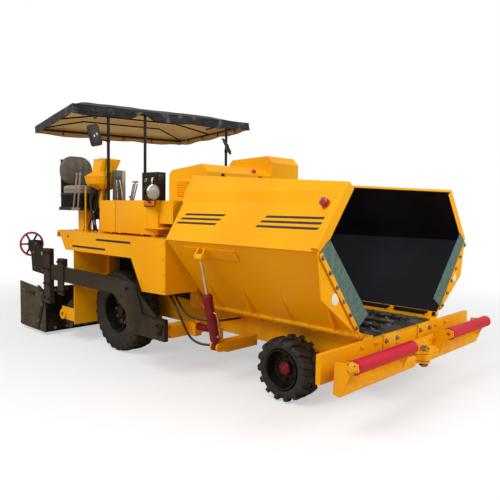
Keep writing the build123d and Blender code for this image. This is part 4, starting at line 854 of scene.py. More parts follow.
# Flap clamps: a flat bar with bolts holds each rubber flap against the deep end plate.
flap_rubber, shader, place = finish("reinforced_flap_rubber", 0.55)
weave = add(place, "ShaderNodeTexBrick", {
    "Vector": add(place, "ShaderNodeMapping", {
        "Vector": place, "Rotation": (math.pi / 2, 0, 0)}).outputs[0],
    "Color1": (1, 1, 1, 1), "Color2": (0.7, 0.7, 0.7, 1), "Mortar": (0, 0, 0, 1), "Scale": 90.0,
    "Mortar Size": 0.06})
tone = over(cloudy(place, 0.05, 0.35, 0.7, 5.0), "#52766F", "#3F5F5B")
feed(shader, "Base Color", over(times(cloudy(place, 0.012, 0.55, 0.8), 0.5), tone, "#7C9A92"))
relief(shader, weave.outputs["Fac"], 0.0006, 0.4)
for label, side in SIDES.items():
    dress(f"wing_flap_{label}", flap_rubber)
    front = WING_FRONT + 0.0083
    clamp = rect(0.075, 0.004, LOWER_LENGTH - 0.012, -0.036)
    clamps = [plate(clamp, 0.006, lambda u, v, w: on_lower(side, front + w, u, -v - 0.004))]
    piece(f"flap_clamp_{label}", clamps, yellow_enamel, f"wing_{label}", bevel=0.001)
    clamp_bolts = [(on_lower(side, front + 0.006, 0.11 + 0.145 * i, 0.012), FORWARD) for i in range(6)]
    bolts(f"flap_clamp_bolts_{label}", clamp_bolts, zinc_plate, f"wing_{label}", head=0.020,
          seed=10)
    # blank white plate, 90 mm across, stuck to the end plate
    white_enamel = enamel(f"white_stove_enamel_{label}", "#F2EFE6", "#E4DFD0", 0.32, dust=0.1)
    disc_at = (WING_FRONT + 0.0005, side * 1.020, 1.000)
    disc = solid([(0, 0.045), (0.003, 0.045), (0.004, 0.043)], disc_at, FORWARD, 40)
    piece(f"blank_disc_{label}", [disc], white_enamel, f"wing_{label}", smooth_below=50)


def patterned(name, roughness, colour, second, kind, sizes, depth=0.0, strength=1.0, output="Fac",
              settings=None, **more):
    """A finish with a regular pattern in two tones and, where a depth is given, in low relief."""
    material, shader, place = finish(name, roughness, **more)
    pattern = add(place, kind, {"Vector": place, **sizes}, **(settings or {})).outputs[output]
    feed(shader, "Base Color", over(pattern, colour, second))
    if depth:
        relief(shader, pattern, depth, strength)
    return material


# Round reflectors: a red moulded lens in a pale rim, on a small bent bracket, turned to the front corner.
lens_red = patterned("moulded_red_reflector", 0.18, "#E01232", "#B00822", "ShaderNodeTexVoronoi",
                     {"Scale": 260.0}, 0.0008, 0.8, "Distance", coat=0.6)
for label, side in SIDES.items():
    middle = Vector((2.350, side * 0.995, 1.709))
    out = Vector((0.86, side * 0.50, 0.05)).normalized()
    foot = on_upper(side, 2.330, 0.400, 0.002)
    stalk = pipe([foot, foot + Vector((0.004, side * 0.030, 0.004)), middle - out * 0.004], 0.008)
    rim_profile = [(0, 0), (0, 0.039), (0.010, 0.039), (0.012, 0.037), (0.012, 0.034), (0.008, 0.032),
                   (0.008, 0)]
    piece(f"reflector_rim_{label}", [turned(rim_profile, middle, out, 36), stalk], zinc_plate,
          f"wing_{label}", smooth_below=50)
    lens = turned([(0, 0), (0, 0.0315), (0.003, 0.0315), (0.006, 0.022), (0.007, 0)], middle + out * 0.0085,
                  out, 36)
    piece(f"reflector_lens_{label}", [lens], lens_red, f"wing_{label}", smooth_below=50)

# ---------------- wing cylinders
# Welded hydraulic cylinders in maroon enamel with hard-chromed rods, pinned at both ends.
# Plated unions sit at the ports, and a hard line runs up the front of each barrel.
chrome_rod, shader, place = finish("hard_chrome_with_painted_eye", 0.16, metallic=1.0)
bright = over(cloudy(place, 0.1, 0.3, 0.7), "#D6D4CE", "#BDB9B2")
# the eye at the top is sprayed yellow with the wing
EYE_FOOT = 1.142
painted = worked("GREATER_THAN", height_of(place), EYE_FOOT)
feed(shader, "Base Color", over(painted, bright, YELLOW))
feed(shader, "Metallic", worked("SUBTRACT", 1.0, painted))
relief(shader, cloudy(place, 0.05, 0.3, 0.7, 3.0, (1, 1, 0.1)), 0.0001, 0.2)
BASE, EYE, BARREL = Vector((1.000, 0.400)), Vector((1.205, 1.225)), 0.490
cylinder_way = (EYE - BASE).normalized()
for label, side in SIDES.items():
    dress(f"wing_cylinder_barrel_{label}", maroon_enamel)
    dress(f"wing_cylinder_rod_{label}", chrome_rod)
    axis = Vector((0, side * cylinder_way[0], cylinder_way[1]))
    base = Vector((1.200, side * BASE[0], BASE[1]))
    body = f"wing_barrel_{label}"
    # gland nut with flats, and a ring round the barrel near its base
    gland = [turned([(0, 0.036), (0, 0.0500), (0.016, 0.0500), (0.020, 0.045), (0.024, 0.045),
                     (0.024, 0.0145)], base + axis * (BARREL - 0.012), axis, 6),
             turned([(0, 0.043), (0.002, 0.0475), (0.008, 0.0475), (0.010, 0.043)], base + axis * 0.085, axis,
                    32)]
    piece(f"cylinder_gland_{label}", gland, maroon_enamel, body, bevel=0.001)
    unions = []
    for along, way in ((BARREL - 0.045, -1), (BARREL - 0.119, -1), (0.105, 1)):
        port = base + axis * along + Vector((way * 0.038, 0, 0))
        unions.append(solid([(0, 0.013), (0.014, 0.013), (0.014, 0.0095), (0.030, 0.0095), (0.030, 0.0115),
                             (0.044, 0.0115), (0.046, 0.009)], port, (way, 0, 0), 6))
    piece(f"cylinder_unions_{label}", unions, zinc_plate, body, bevel=0.0008)
    hard_line = [base + axis * 0.105 + Vector((0.080, 0, 0)), base + axis * 0.125 + Vector((0.088, 0, 0)),
                 base + axis * 0.30 + Vector((0.088, 0, 0)), base + axis * 0.33 + Vector((0.078, 0, 0)),
                 base + axis * 0.34 + Vector((0.043, 0, 0))]
    piece(f"cylinder_hard_line_{label}", [pipe(hard_line, 0.006, 10)], zinc_plate, body,
          smooth_below=60)
dress("levelling_cylinders", maroon_enamel)
straps = []
for side in SIDES.values():
    for x in (0.850, 0.960, 1.052):
        straps.append(turned([(0, 0.031), (0, 0.035), (0.010, 0.035), (0.010, 0.031)],
                             (x, side * 0.900, 0.515), FORWARD, 28))
piece("levelling_cylinder_bands", straps, maroon_enamel, smooth_below=50)

# ---------------- body sides, deck and rear plate
# Folded plate bodies each side under one deck, in the machine's yellow, with two vinyl stripes on each side.
# The deck is raised chequer plate where the operator walks; the lettering between the stripes is left bare.
orange_enamel = enamel("orange_yellow_two_pack_enamel", ORANGE, "#F2A000", dust=0.25)
for name in ("side_panels", "deck"):
    dress(name, yellow_enamel)
dress("rear_plate", orange_enamel)
SIDE_STRIPES = ((-0.540, 0.126, 1.277, 1.300), (-1.066, -0.353, 1.179, 1.202))      # rear, front, low, high
BODY_FACE_Y = 1.200
for label, side in SIDES.items():
    strips = [plate(rect(rear, low, front, high), DECAL_THICKNESS, on_side(BODY_FACE_Y + 0.0002, side))
              for rear, front, low, high in SIDE_STRIPES]
    piece(f"body_pinstripes_{label}", strips, decal_vinyl)
    # rubber drain bung near the rear corner, and bolts down the front edge
    bung = [(0, 0), (0, 0.015), (0.003, 0.014), (0.003, 0.010), (0.001, 0.008), (0.001, 0)]
    piece(f"drain_bung_{label}", [turned(bung, (-1.164, side * BODY_FACE_Y, 1.296), (0, side, 0), 24)],
          tyre_rubber, smooth_below=50)
    screws = [((0.676, side * BODY_FACE_Y, z), (0, side, 0)) for z in (0.87, 1.02, 1.17, 1.31)]
    bolts(f"body_edge_bolts_{label}", screws, yellow_enamel, head=0.014, seed=11)

# Chequer plate: lozenges 26 mm long in two directions, rolled on the raised tread plate.
LOZENGE = [(-0.013, 0), (-0.006, 0.0028), (0.006, 0.0028), (0.013, 0), (0.006, -0.0028), (-0.006, -0.0028)]
TREAD_TOP, CHEQUER_PITCH = 1.360, 0.032
tread_lozenges = []
for turn, shift in ((0.6, 0), (-0.6, CHEQUER_PITCH / 2)):
    cosine, sine = math.cos(turn), math.sin(turn)
    tread_lozenges.append(plate(LOZENGE, 0.0012, lambda u, v, w: (
        -1.360 + shift + u * cosine - v * sine, -0.462 + shift + u * sine + v * cosine, TREAD_TOP + w)))
one_row = grown("lozenges", joined("lozenge", tread_lozenges), row_tree,
                {"Count": 18, "Step": (CHEQUER_PITCH, 0, 0), "Material": yellow_enamel})
all_rows = grown("chequer_lozenges", one_row, row_tree,
                 {"Count": 33, "Step": (0, CHEQUER_PITCH, 0), "Material": yellow_enamel})
mesh_piece("chequer_lozenges", all_rows, yellow_enamel)
tread_screws = [((x, y, TREAD_TOP), UP) for x in (-1.372, -0.768) for y in (-0.472, -0.1, 0.24, 0.612)]
bolts("tread_plate_screws", tread_screws, zinc_plate, head=0.013, seed=12)
# Angle bar along the deck's rear edge, and the closing plate's bolts behind.
edge_bar = [plate([(-1.437, 1.3345), (-1.437, 1.362), (-1.432, 1.362), (-1.432, 1.3555), (-1.400, 1.3555),
                   (-1.400, 1.3552), (-1.4368, 1.3552), (-1.4368, 1.3345)], 2.36, on_side(-1.18))]
piece("deck_edge_angle", edge_bar, yellow_enamel)
REAR_PLATE_X, COVER_FOOT, COVER_TOP = -1.060, 0.575, 0.581
rear_bolts = [((REAR_PLATE_X, side * y, z), (-1, 0, 0)) for side in SIDES.values() for y in (0.62, 0.90, 1.15)
              for z in (0.66, 0.88, 1.09)]
bolts("rear_plate_bolts", rear_bolts, orange_enamel, head=0.022, seed=13)


def on_top(z):
    """Places a plate's outline level and its thickness up from z."""
    return lambda u, v, w: (u, v, z + w)


# Ribbed cooling fins on the augers' drive case, and its filler plug.
fin = [plate(rect(-1.470, 0.300, -1.270, 0.540), 0.005, on_side(-0.117))]
row("drive_case_fins", fin, 2, (0, 0.229, 0), orange_enamel, bevel=0.001)
cover = [plate(rect(-1.455, -0.085, -1.285, 0.085), 0.006, on_top(COVER_FOOT)),
         solid([(0, 0.016), (0.012, 0.016), (0.014, 0.014)], (-1.40, 0, COVER_TOP), UP, 6)]
piece("drive_case_cover", cover, orange_enamel, bevel=0.0015)
bolts("drive_case_bolts", [((x, y, COVER_TOP), UP) for x in (-1.440, -1.300) for y in (-0.07, 0.07)],
      zinc_plate, head=0.014, seed=14)

# ---------------- engine hood
# Pressed sheet cover in the warmer yellow: a fixed lower part, a taller part on the left, and a lid
# hinged at the rear. It has louvres, grab handles and pull latches.
dress("engine_hood", orange_enamel)
dress("hood_lid", orange_enamel)
# Louvred panel on each side: a backing sheet under nine pressed slats.
LOUVRE_X, LOUVRE_Z = (0.234, 0.464), (1.770, 1.940)
HOOD_FACE_Y, HOOD_FRONT_X = 0.700, 0.720
for label, side in SIDES.items():
    backing = [plate(rect(LOUVRE_X[0], LOUVRE_Z[0], LOUVRE_X[1], LOUVRE_Z[1]), 0.0015,
                     on_side(HOOD_FACE_Y, side))]
    piece(f"louvre_grille_{label}", backing, orange_enamel, bevel=0.0004)
    slat = [(HOOD_FACE_Y + 0.001, LOUVRE_Z[0] + 0.006), (HOOD_FACE_Y + 0.010, LOUVRE_Z[0] + 0.004),
            (HOOD_FACE_Y + 0.011, LOUVRE_Z[0] + 0.006), (HOOD_FACE_Y + 0.001, LOUVRE_Z[0] + 0.017)]
    slats = [plate(slat, LOUVRE_X[1] - LOUVRE_X[0] - 0.020,
                   lambda u, v, w: (LOUVRE_X[0] + 0.010 + w, side * u, v))]
    row(f"louvre_slats_{label}", slats, 9, (0, 0, 0.0178), orange_enamel)
    # grab handle
    grab = pipe([(0.560, side * 0.702, 1.700), (0.560, side * 0.735, 1.700), (0.560, side * 0.735, 1.840),
                 (0.560, side * 0.702, 1.840)], 0.007)
    feet = [solid([(0, 0.016), (0.004, 0.016), (0.006, 0.010)], (0.560, side * HOOD_FACE_Y, z),
                  (0, side, 0), 20) for z in (1.700, 1.840)]
    piece(f"hood_grab_handle_{label}", [grab] + feet, black_paint, smooth_below=50)

# Pressed panel on the front, with its seam line.
panel = rect(-0.600, 1.560, 0.220, 1.900)
piece("hood_front_panel", [plate(panel, 0.003, on_front(HOOD_FRONT_X))], orange_enamel,
      bevel=0.0012)
bolts("hood_front_screws", [((HOOD_FRONT_X + 0.003, y, z), FORWARD) for y in (-0.58, -0.19, 0.20)
                            for z in (1.58, 1.88)], zinc_plate, head=0.012, seed=15)
# Strap hinges at the lid's rear, and two pull latches and a red knob in front.
LID_FRONT_X = 0.7205
knuckles, leaves = [], []
for y in (-0.55, 0.09):
    knuckles.append(rod(0.110, 0.008, (0.100, y - 0.055, 1.952), (0, 1, 0), 18))
    leaves.append(plate(rect(y - 0.045, 1.885, y + 0.045, 1.940), 0.004, lambda u, v, w: (0.0995 - w, u, v)))
piece("lid_hinge_knuckles", knuckles, orange_enamel, "hood_lid", bevel=0.0008)
piece("lid_hinge_leaves", leaves, orange_enamel, bevel=0.0008)
latches, keepers = [], []
for y in (-0.50, 0.05):
    latches.append(plate([(y - 0.014, 1.975), (y + 0.014, 1.975), (y + 0.020, 2.000), (y - 0.020, 2.000)],
                         0.008, on_front(LID_FRONT_X)))
    latches.append(rod(0.044, 0.007, (LID_FRONT_X + 0.010, y - 0.022, 1.972), (0, 1, 0), 16))
    keepers.append(plate(rect(y - 0.016, 1.918, y + 0.016, 1.940), 0.007, on_front(HOOD_FRONT_X + 0.003)))
piece("lid_latches", latches, black_paint, "hood_lid", bevel=0.0015)
piece("lid_latch_keepers", keepers, black_paint, bevel=0.0015)
glossy_red = mottled("moulded_red_phenolic", 0.25, "#C8141E", "#A80F18", 0.02, 0.4)
knob = [(0, 0), (0, 0.012), (0.010, 0.010), (0.016, 0.020), (0.028, 0.024), (0.036, 0.020), (0.040, 0.008),
        (0.040, 0)]
piece("lid_pull_knob", [turned(knob, (0.690, -0.030, 2.034), (0.65, 0, 0.76), 28)], glossy_red,
      "hood_lid", smooth_below=60)

# ---------------- side boxes and lamps
# Two closed boxes stand on the deck, the right one with a work lamp on a stalk and an amber marker lamp.
# Doors are separate sheets with rolled edges, held by paddle latches; the left box is dressed the same.
dress("side_boxes", yellow_enamel)
dress("work_lamp", black_paint)
BOX_FACE_Y, BOX_TOP, DOOR_LOW, DOOR_HIGH = 1.100, 1.715, 1.3785, 1.7120
DOORS = ((-0.6255, -0.3130), (-0.3060, 0.2780))
for label, side in SIDES.items():
    doors = []
    for rear, front in DOORS:
        doors.append(plate(rect(rear, DOOR_LOW, front, DOOR_HIGH), 0.003, on_side(BOX_FACE_Y, side)))
    piece(f"box_doors_{label}", doors, yellow_enamel, bevel=0.0012)
    # a thin dark rubber strip down the gap between the doors: painted shade, standing for the shadow in that
    # gap
    door_gap_shade_strip = pipe([(-0.3095, side * (BOX_FACE_Y - 0.001), z) for z in (DOOR_LOW, DOOR_HIGH)], 0.0036, 8)
    piece(f"box_door_gap_shade_{label}", [door_gap_shade_strip], tyre_rubber, smooth_below=60)
    # paddle latches set low in the doors' tops, and butt hinges along their feet
    latch, hinges = [], []
    for x in (-0.360, 0.215):
        latch.append(plate(rect(x - 0.018, BOX_FACE_Y - 0.060, x + 0.018, BOX_FACE_Y - 0.012), 0.004,
                           lambda u, v, w: (u, side * v, BOX_TOP + w)))
    for x in (-0.560, -0.390, -0.220, 0.190):
        hinges.append(rod(0.040, 0.005, (x - 0.020, side * (BOX_FACE_Y + 0.0035), 1.3755), FORWARD, 12))
    piece(f"box_latches_{label}", latch, black_paint, bevel=0.001)
    piece(f"box_hinges_{label}", hinges, yellow_enamel, smooth_below=50)
    lids = [plate([(-0.622, 0.728), (0.276, 0.728), (0.276, 1.030), (0.200, 1.090), (-0.622, 1.090)], 0.003,
                  lambda u, v, w: (u, side * v, BOX_TOP + w))]
    piece(f"box_top_lid_{label}", lids, yellow_enamel, bevel=0.001)

# Work lamp: a round headlamp with a chromed rim and fluted glass in a black bowl, in a yoke.
LAMP = Vector((0.362, -1.122, 1.798))
lamp_glass = patterned("fluted_lamp_glass", 0.10, "#B9C2C6", "#6E7A82", "ShaderNodeTexWave",
                       {"Scale": 26.0, "Distortion": 1.5}, 0.0015, 0.7,
                       settings={"bands_direction": "Y"}, specular=0.7)
chrome_plate = mottled("bright_chrome_plate", 0.10, "#DDDBD6", "#C4C1BB", 0.1, 0.3, metallic=1.0)
LAMP_FACE = LAMP + Vector((0.035, 0, 0))
rim = [(-0.006, 0), (-0.006, 0.0725), (0.004, 0.0750), (0.012, 0.0730), (0.013, 0.0680), (0.004, 0.0640),
       (0.003, 0)]
piece("work_lamp_rim", [turned(rim, LAMP_FACE, FORWARD, 48)], chrome_plate, smooth_below=50)
glass = [(0.0035, 0), (0.0035, 0.0635), (0.006, 0.0635), (0.012, 0.045), (0.015, 0.020), (0.0155, 0)]
piece("work_lamp_glass", [turned(glass, LAMP_FACE, FORWARD, 48)], lamp_glass, smooth_below=60)
bowl = [(-0.101, 0), (-0.100, 0.020), (-0.094, 0.044), (-0.082, 0.062), (-0.0705, 0.0695), (-0.0705, 0)]
piece("work_lamp_bowl", [turned(bowl, LAMP_FACE, FORWARD, 40)], black_paint, smooth_below=50)
yoke = [LAMP + Vector((0, aside, up))
        for aside, up in ((0.076, 0), (0.078, -0.040), (0.050, -0.082), (0, -0.092), (-0.050, -0.082),
                          (-0.078, -0.040), (-0.076, 0.0))]
pivots = [solid([(0, 0.014), (0.014, 0.014), (0.016, 0.010)], LAMP + Vector((0, way * 0.069, 0)),
                (0, way, 0), 18) for way in (-1, 1)]
piece("work_lamp_yoke", [pipe(yoke, 0.006)] + pivots, black_paint, smooth_below=50)

# Amber marker lamp under it: an oblong moulded lens, ribbed inside, in a black base.
amber_lens = patterned("moulded_amber_lens", 0.22, "#F07A08", "#C85800", "ShaderNodeTexWave",
                       {"Scale": 45.0}, 0.0008, 0.6, settings={"bands_direction": "X"}, specular=0.6)
LENS_X, LENS_Z, CUT = (0.258, 0.421), (1.664, 1.713), 0.006
marker = [(LENS_X[0] + CUT, LENS_Z[0]), (LENS_X[1] - CUT, LENS_Z[0]), (LENS_X[1], LENS_Z[0] + CUT),
          (LENS_X[1], LENS_Z[1] - CUT), (LENS_X[1] - CUT, LENS_Z[1]), (LENS_X[0] + CUT, LENS_Z[1]),
          (LENS_X[0], LENS_Z[1] - CUT), (LENS_X[0], LENS_Z[0] + CUT)]
piece("marker_lamp_base", [plate([(u + (0.003 if u > 0.34 else -0.003), v) for u, v in marker], 0.008,
                                 on_side(1.1082, -1))], black_paint, bevel=0.001)
piece("marker_lamp_lens", [plate(marker, 0.020, on_side(1.1164, -1))], amber_lens,
      bevel=0.006)

# ---------------- control console and instrument panels
# Sheet-metal console on a post: a wide head of gauges and switches over a bell-shaped body, looms below.
# Two instrument panels, hand levers and gear rods stand round it on the deck and the side box.
dress("control_console", orange_enamel)
CONSOLE = Vector((-0.830, -0.887, 2.185))
grey_panel = enamel("grey_instrument_enamel", "#6B6660", "#5E5A55", 0.42, dust=0.1)
dress("instrument_panels", enamel("satin_black_panel_enamel", "#2A2724", "#211F1D", 0.42, dust=0.1))
moulded_black = mottled("moulded_black_plastic", 0.48, "#161616", "#242322", 0.04, 0.35,
                        (0.0012, 0.0002, 0.5))
dial_face = patterned("printed_dial_face", 0.35, "#E6E3D8", "#D2CEC0", "ShaderNodeTexWave", {"Scale": 120.0},
                      settings={"bands_direction": "Y"})
# rim round the top, then dials, switches and a stop button on the head
HEAD_X = CONSOLE.x + 0.005
rim_bars = [block((HEAD_X + x0, CONSOLE.y + y0, CONSOLE.z - 0.004),
                  (HEAD_X + x1, CONSOLE.y + y1, CONSOLE.z + 0.005))
            for x0, x1, y0, y1 in ((-0.105, 0.105, -0.115, -0.107), (-0.105, 0.105, 0.107, 0.115),
                                   (-0.105, -0.097, -0.107, 0.107), (0.097, 0.105, -0.107, 0.107))]
piece("console_rim", rim_bars, yellow_enamel, bevel=0.002)
top_plate = [plate(rect(-0.096, -0.106, 0.096, 0.106), 0.002,
                   lambda u, v, w: (HEAD_X + u, CONSOLE.y + v, CONSOLE.z + w))]
piece("console_top_plate", top_plate, moulded_black, bevel=0.0006)
bezels, faces = [], []
DIAL_RADIUS = 0.027
for y in (-0.065, 0.0, 0.065):
    at = (CONSOLE.x + 0.045, CONSOLE.y + y, CONSOLE.z + 0.002)
    bezels.append(solid([(0, DIAL_RADIUS), (0.006, DIAL_RADIUS), (0.009, DIAL_RADIUS - 0.004),
                         (0.006, DIAL_RADIUS - 0.006)], at, UP, 28))
    face_radius = DIAL_RADIUS - 0.0065
    faces.append(turned([(0.0062, 0), (0.0062, face_radius), (0.0068, face_radius), (0.0068, 0)], at, UP, 28))
piece("console_dial_bezels", bezels, moulded_black, smooth_below=50)
piece("console_dial_faces", faces, dial_face, smooth_below=50)
toggle = [solid([(0, 0.007), (0.004, 0.007), (0.005, 0.004), (0.016, 0.0025), (0.022, 0.0035)],
                (CONSOLE.x - 0.010, CONSOLE.y - 0.085, CONSOLE.z + 0.002), UP, 12)]
row("console_toggle_switches", toggle, 7, (0, 0.0285, 0), zinc_plate)
button = [solid([(0, 0.012), (0.010, 0.012), (0.010, 0.020), (0.016, 0.020), (0.020, 0.015)],
                (CONSOLE.x - 0.055, CONSOLE.y + 0.055, CONSOLE.z + 0.002), UP, 24)]
piece("console_stop_button", button, glossy_red, smooth_below=50)
seam_bars = [block((-0.9790, -1.0915, 1.9885), (-0.7310, -0.7585, 1.9915))]
piece("console_body_seam", seam_bars, orange_enamel, bevel=0.0006)

# Looms from the console down to the box: cables in a bunch, and a black valve block with unions on the post.
loom_rubber = patterned("braided_loom_sleeve", 0.60, "#141313", "#2B2825", "ShaderNodeTexChecker",
                        {"Scale": 420.0}, 0.0005, 0.5)
LOOMS = (
    ((-0.900, -0.985, 1.880), (-0.905, -1.010, 1.780), (-0.870, -1.030, 1.660), (-0.820, -1.020, 1.530),
     (-0.800, -0.990, 1.362)),
    ((-0.870, -0.975, 1.880), (-0.890, -0.998, 1.760), (-0.915, -1.005, 1.640), (-0.880, -1.000, 1.500),
     (-0.860, -0.995, 1.362)),
    ((-0.920, -0.900, 1.880), (-0.945, -0.910, 1.790), (-0.935, -0.945, 1.650), (-0.890, -0.960, 1.520),
     (-0.920, -0.950, 1.362)),
    ((-0.770, -0.960, 1.870), (-0.740, -1.000, 1.760), (-0.770, -1.010, 1.640), (-0.840, -1.010, 1.560),
     (-0.940, -1.010, 1.440), (-0.960, -0.990, 1.362)),
    ((-0.760, -0.900, 1.880), (-0.725, -0.925, 1.800), (-0.700, -0.955, 1.735), (-0.660, -0.980, 1.712)))
LOOM_SHIFT = Vector((-0.028, -0.028, 0))
looms = []
for run in LOOMS:      # each run is smoothed through its points
    points = [Vector(point) + LOOM_SHIFT for point in run]
    smooth = []
    for i, (here, after) in enumerate(zip(points, points[1:])):
        before, beyond = points[max(i - 1, 0)], points[min(i + 2, len(points) - 1)]
        for step in range(6):
            t = step / 6
            smooth.append(0.5 * ((2 * here) + (after - before) * t
                                 + (2 * before - 5 * here + 4 * after - beyond) * t * t
                                 + (3 * here - before - 3 * after + beyond) * t * t * t))
    looms.append(pipe(smooth + [points[-1]], 0.010, 10))
piece("console_looms", looms, loom_rubber, smooth_below=60)
valve = [block((-0.915, -0.985, 1.500), (-0.795, -0.870, 1.640))]
valve += [solid([(0, 0.018), (0.026, 0.018), (0.030, 0.012), (0.044, 0.012)],
                (-0.893 + 0.038 * i, -0.984, 1.600), (0, -1, 0), 6) for i in range(3)]
valve += [rod(0.020, 0.011, (-0.893 + 0.038 * i, -0.984, 1.535), (0, -1, 0), 12) for i in range(3)]
piece("console_valve_block", valve, black_paint, bevel=0.002)

# Instrument panels: the rear one has a grey sheet front with a beige edge strip, the forward one a recessed
# dark front.
fascia = [block((-0.7065, -0.8875, 1.420), (-0.6305, -0.8855, 2.062)),
          block((-0.6315, -0.8830, 1.420), (-0.6300, -0.7670, 2.060))]
piece("rear_panel_fascia", fascia, grey_panel, bevel=0.0006)
beige_enamel = enamel("beige_enamel", "#B5A58C", "#A8977E", 0.40, dust=0.2)
piece("rear_panel_edge_strip", [block((-0.6300, -0.8100, 1.420), (-0.6270, -0.7670, 2.060))], beige_enamel,
      bevel=0.0008)
PANEL_FACE_Y = -0.7602
recess = [block((x0, -0.7640, z0), (x1, PANEL_FACE_Y, z1))
          for x0, z0, x1, z1 in ((-0.290, 1.800, -0.060, 1.812), (-0.290, 1.988, -0.060, 2.000),
                                 (-0.290, 1.812, -0.278, 1.988), (-0.072, 1.812, -0.060, 1.988))]
recess.append(block((-0.0400, -0.7400, 1.740), (-0.0375, -0.6600, 2.010)))
piece("forward_panel_frame", recess, moulded_black, bevel=0.001)
gauge_bezels, gauge_faces = [], []
for x in (-0.235, -0.115):
    at = (x, PANEL_FACE_Y, 1.945)
    gauge_bezels.append(solid([(0, 0.024), (0.006, 0.024), (0.008, 0.021), (0.005, 0.019)],
                              at, (0, -1, 0), 32))
    gauge_faces.append(turned([(0.0052, 0), (0.0052, 0.0185), (0.0058, 0.0185), (0.0058, 0)], at, (0, -1, 0),
                              32))
piece("forward_panel_bezels", gauge_bezels, zinc_plate, smooth_below=50)
piece("forward_panel_dials", gauge_faces, grey_panel, smooth_below=50)
lamp_row = [solid([(0, 0.006), (0.003, 0.006), (0.005, 0.003)], (-0.262, PANEL_FACE_Y, 1.850), (0, -1, 0),
                  14)]
row("forward_panel_lamps", lamp_row, 8, (0.0265, 0, 0), lens_red)
bolts("panel_screws", [((x, PANEL_FACE_Y, z), (0, -1, 0)) for x in (-0.298, -0.052) for z in (1.745, 2.018)]
      + [((x, -0.8875, z), (0, -1, 0)) for x in (-0.699, -0.638) for z in (1.45, 1.75, 2.04)], zinc_plate,
      head=0.009, seed=16)

# Chromed hand levers in slotted plates, and the brass-coloured lever bundle that leans out of the box.
levers, grips, plates = [], [], []
for x, y, lean in ((-0.574, -0.905, -0.029), (-0.500, -0.890, -0.062)):
    foot = Vector((x, y, 1.716))
    top = foot + Vector((lean, 0.004, 0.235))
    levers.append(pipe([foot, foot + Vector((lean * 0.2, 0, 0.10)), top], 0.0075))
    grips.append(turned([(0, 0), (0, 0.008), (0.004, 0.011), (0.026, 0.012), (0.036, 0.008), (0.038, 0)], top,
                        top - foot, 20))
plates.append(block((-0.612, -0.930, 1.7185), (-0.468, -0.860, 1.7215)))
LEAN_FOOT, LEAN_TOP = Vector((-0.452, -0.800, 1.716)), Vector((-0.392, -0.800, 1.925))
for offset in (-0.020, 0.0, 0.020):
    levers.append(pipe([LEAN_FOOT + Vector((0, offset, 0)),
                        LEAN_TOP + Vector((0.010 + offset * 0.4, offset, -abs(offset)))], 0.0075))
plates.append(block((-0.490, -0.845, 1.7185), (-0.410, -0.755, 1.7215)))
piece("hand_levers", levers, zinc_plate, smooth_below=60)
piece("hand_lever_grips", grips, moulded_black, smooth_below=60)
piece("hand_lever_plates", plates, black_paint, bevel=0.001)
piece("lever_latch_head", [block((-0.408, -0.826, 1.918), (-0.362, -0.774, 1.938))], beige_enamel,
      bevel=0.004)
piece("lever_red_knob", [turned([(0, 0), (0, 0.006), (0.006, 0.011), (0.014, 0.011), (0.019, 0.006),
                                 (0.020, 0)], (-0.440, -0.824, 1.760), (0, -1, 0.2), 20)], glossy_red,
      smooth_below=60)
chrome_pull = pipe([(-0.080, PANEL_FACE_Y, 1.880), (-0.080, -0.795, 1.880), (-0.074, -0.795, 1.965),
                    (-0.074, PANEL_FACE_Y, 1.965)], 0.006)
piece("forward_panel_pull", [chrome_pull], chrome_plate, smooth_below=60)

# Two grey gear rods that lean beside the seat on a small bracket, and a thin guard post in front of it.
grey_rod = enamel("grey_rod_enamel", "#8E887E", "#7D776E", 0.42, dust=0.2)
rods = [block((-1.040, -1.220, 1.604), (-0.896, -1.1935, 1.632))]
for foot_x, top_x in ((-1.018, -0.935), (-0.919, -0.859)):
    foot, top = Vector((foot_x, -1.206, 1.631)), Vector((top_x, -1.206, 1.998))
    rods.append(pipe([foot, top], 0.0095))
    rods.append(turned([(0, 0), (0, 0.013), (0.024, 0.014), (0.030, 0.009), (0.031, 0)],
                       top - (top - foot) * 0.01, top - foot, 16))
piece("seat_side_rods", rods, grey_rod, bevel=0.001, smooth_below=50)
guard = [pipe([(-0.935, -1.100, 1.362), (-0.935, -1.100, 1.850), (-0.924, -1.100, 1.870)], 0.010),
         solid([(0, 0.028), (0.006, 0.028), (0.009, 0.013)], (-0.935, -1.100, 1.3552), UP, 20)]
piece("seat_guard_post", guard, orange_enamel, smooth_below=50)

# ---------------- operator's seat
# Suspension seat on a boxed pedestal: black ribbed bellows under a moulded pan,
# and two padded vinyl cushions with sewn channels and piping.
dress("seat_pedestal", orange_enamel)
dress("seat_base", moulded_black)
SEAT_X, SEAT_Y, CUSHION_X, BACK_X, BACK_Z = -1.180, -1.003, -1.168, -1.3667, 2.0691


def rounded(length, width, corner, steps=6):
    """The outline of a rectangle with round corners, about the seat's middle."""
    points = []
    for i, (cx, cy) in enumerate(((1, 1), (-1, 1), (-1, -1), (1, -1))):
        for step in range(steps + 1):
            angle = (i + step / steps) * math.pi / 2
            points.append((cx * (length / 2 - corner) + corner * math.cos(angle),
                           cy * (width / 2 - corner) + corner * math.sin(angle)))
    return points


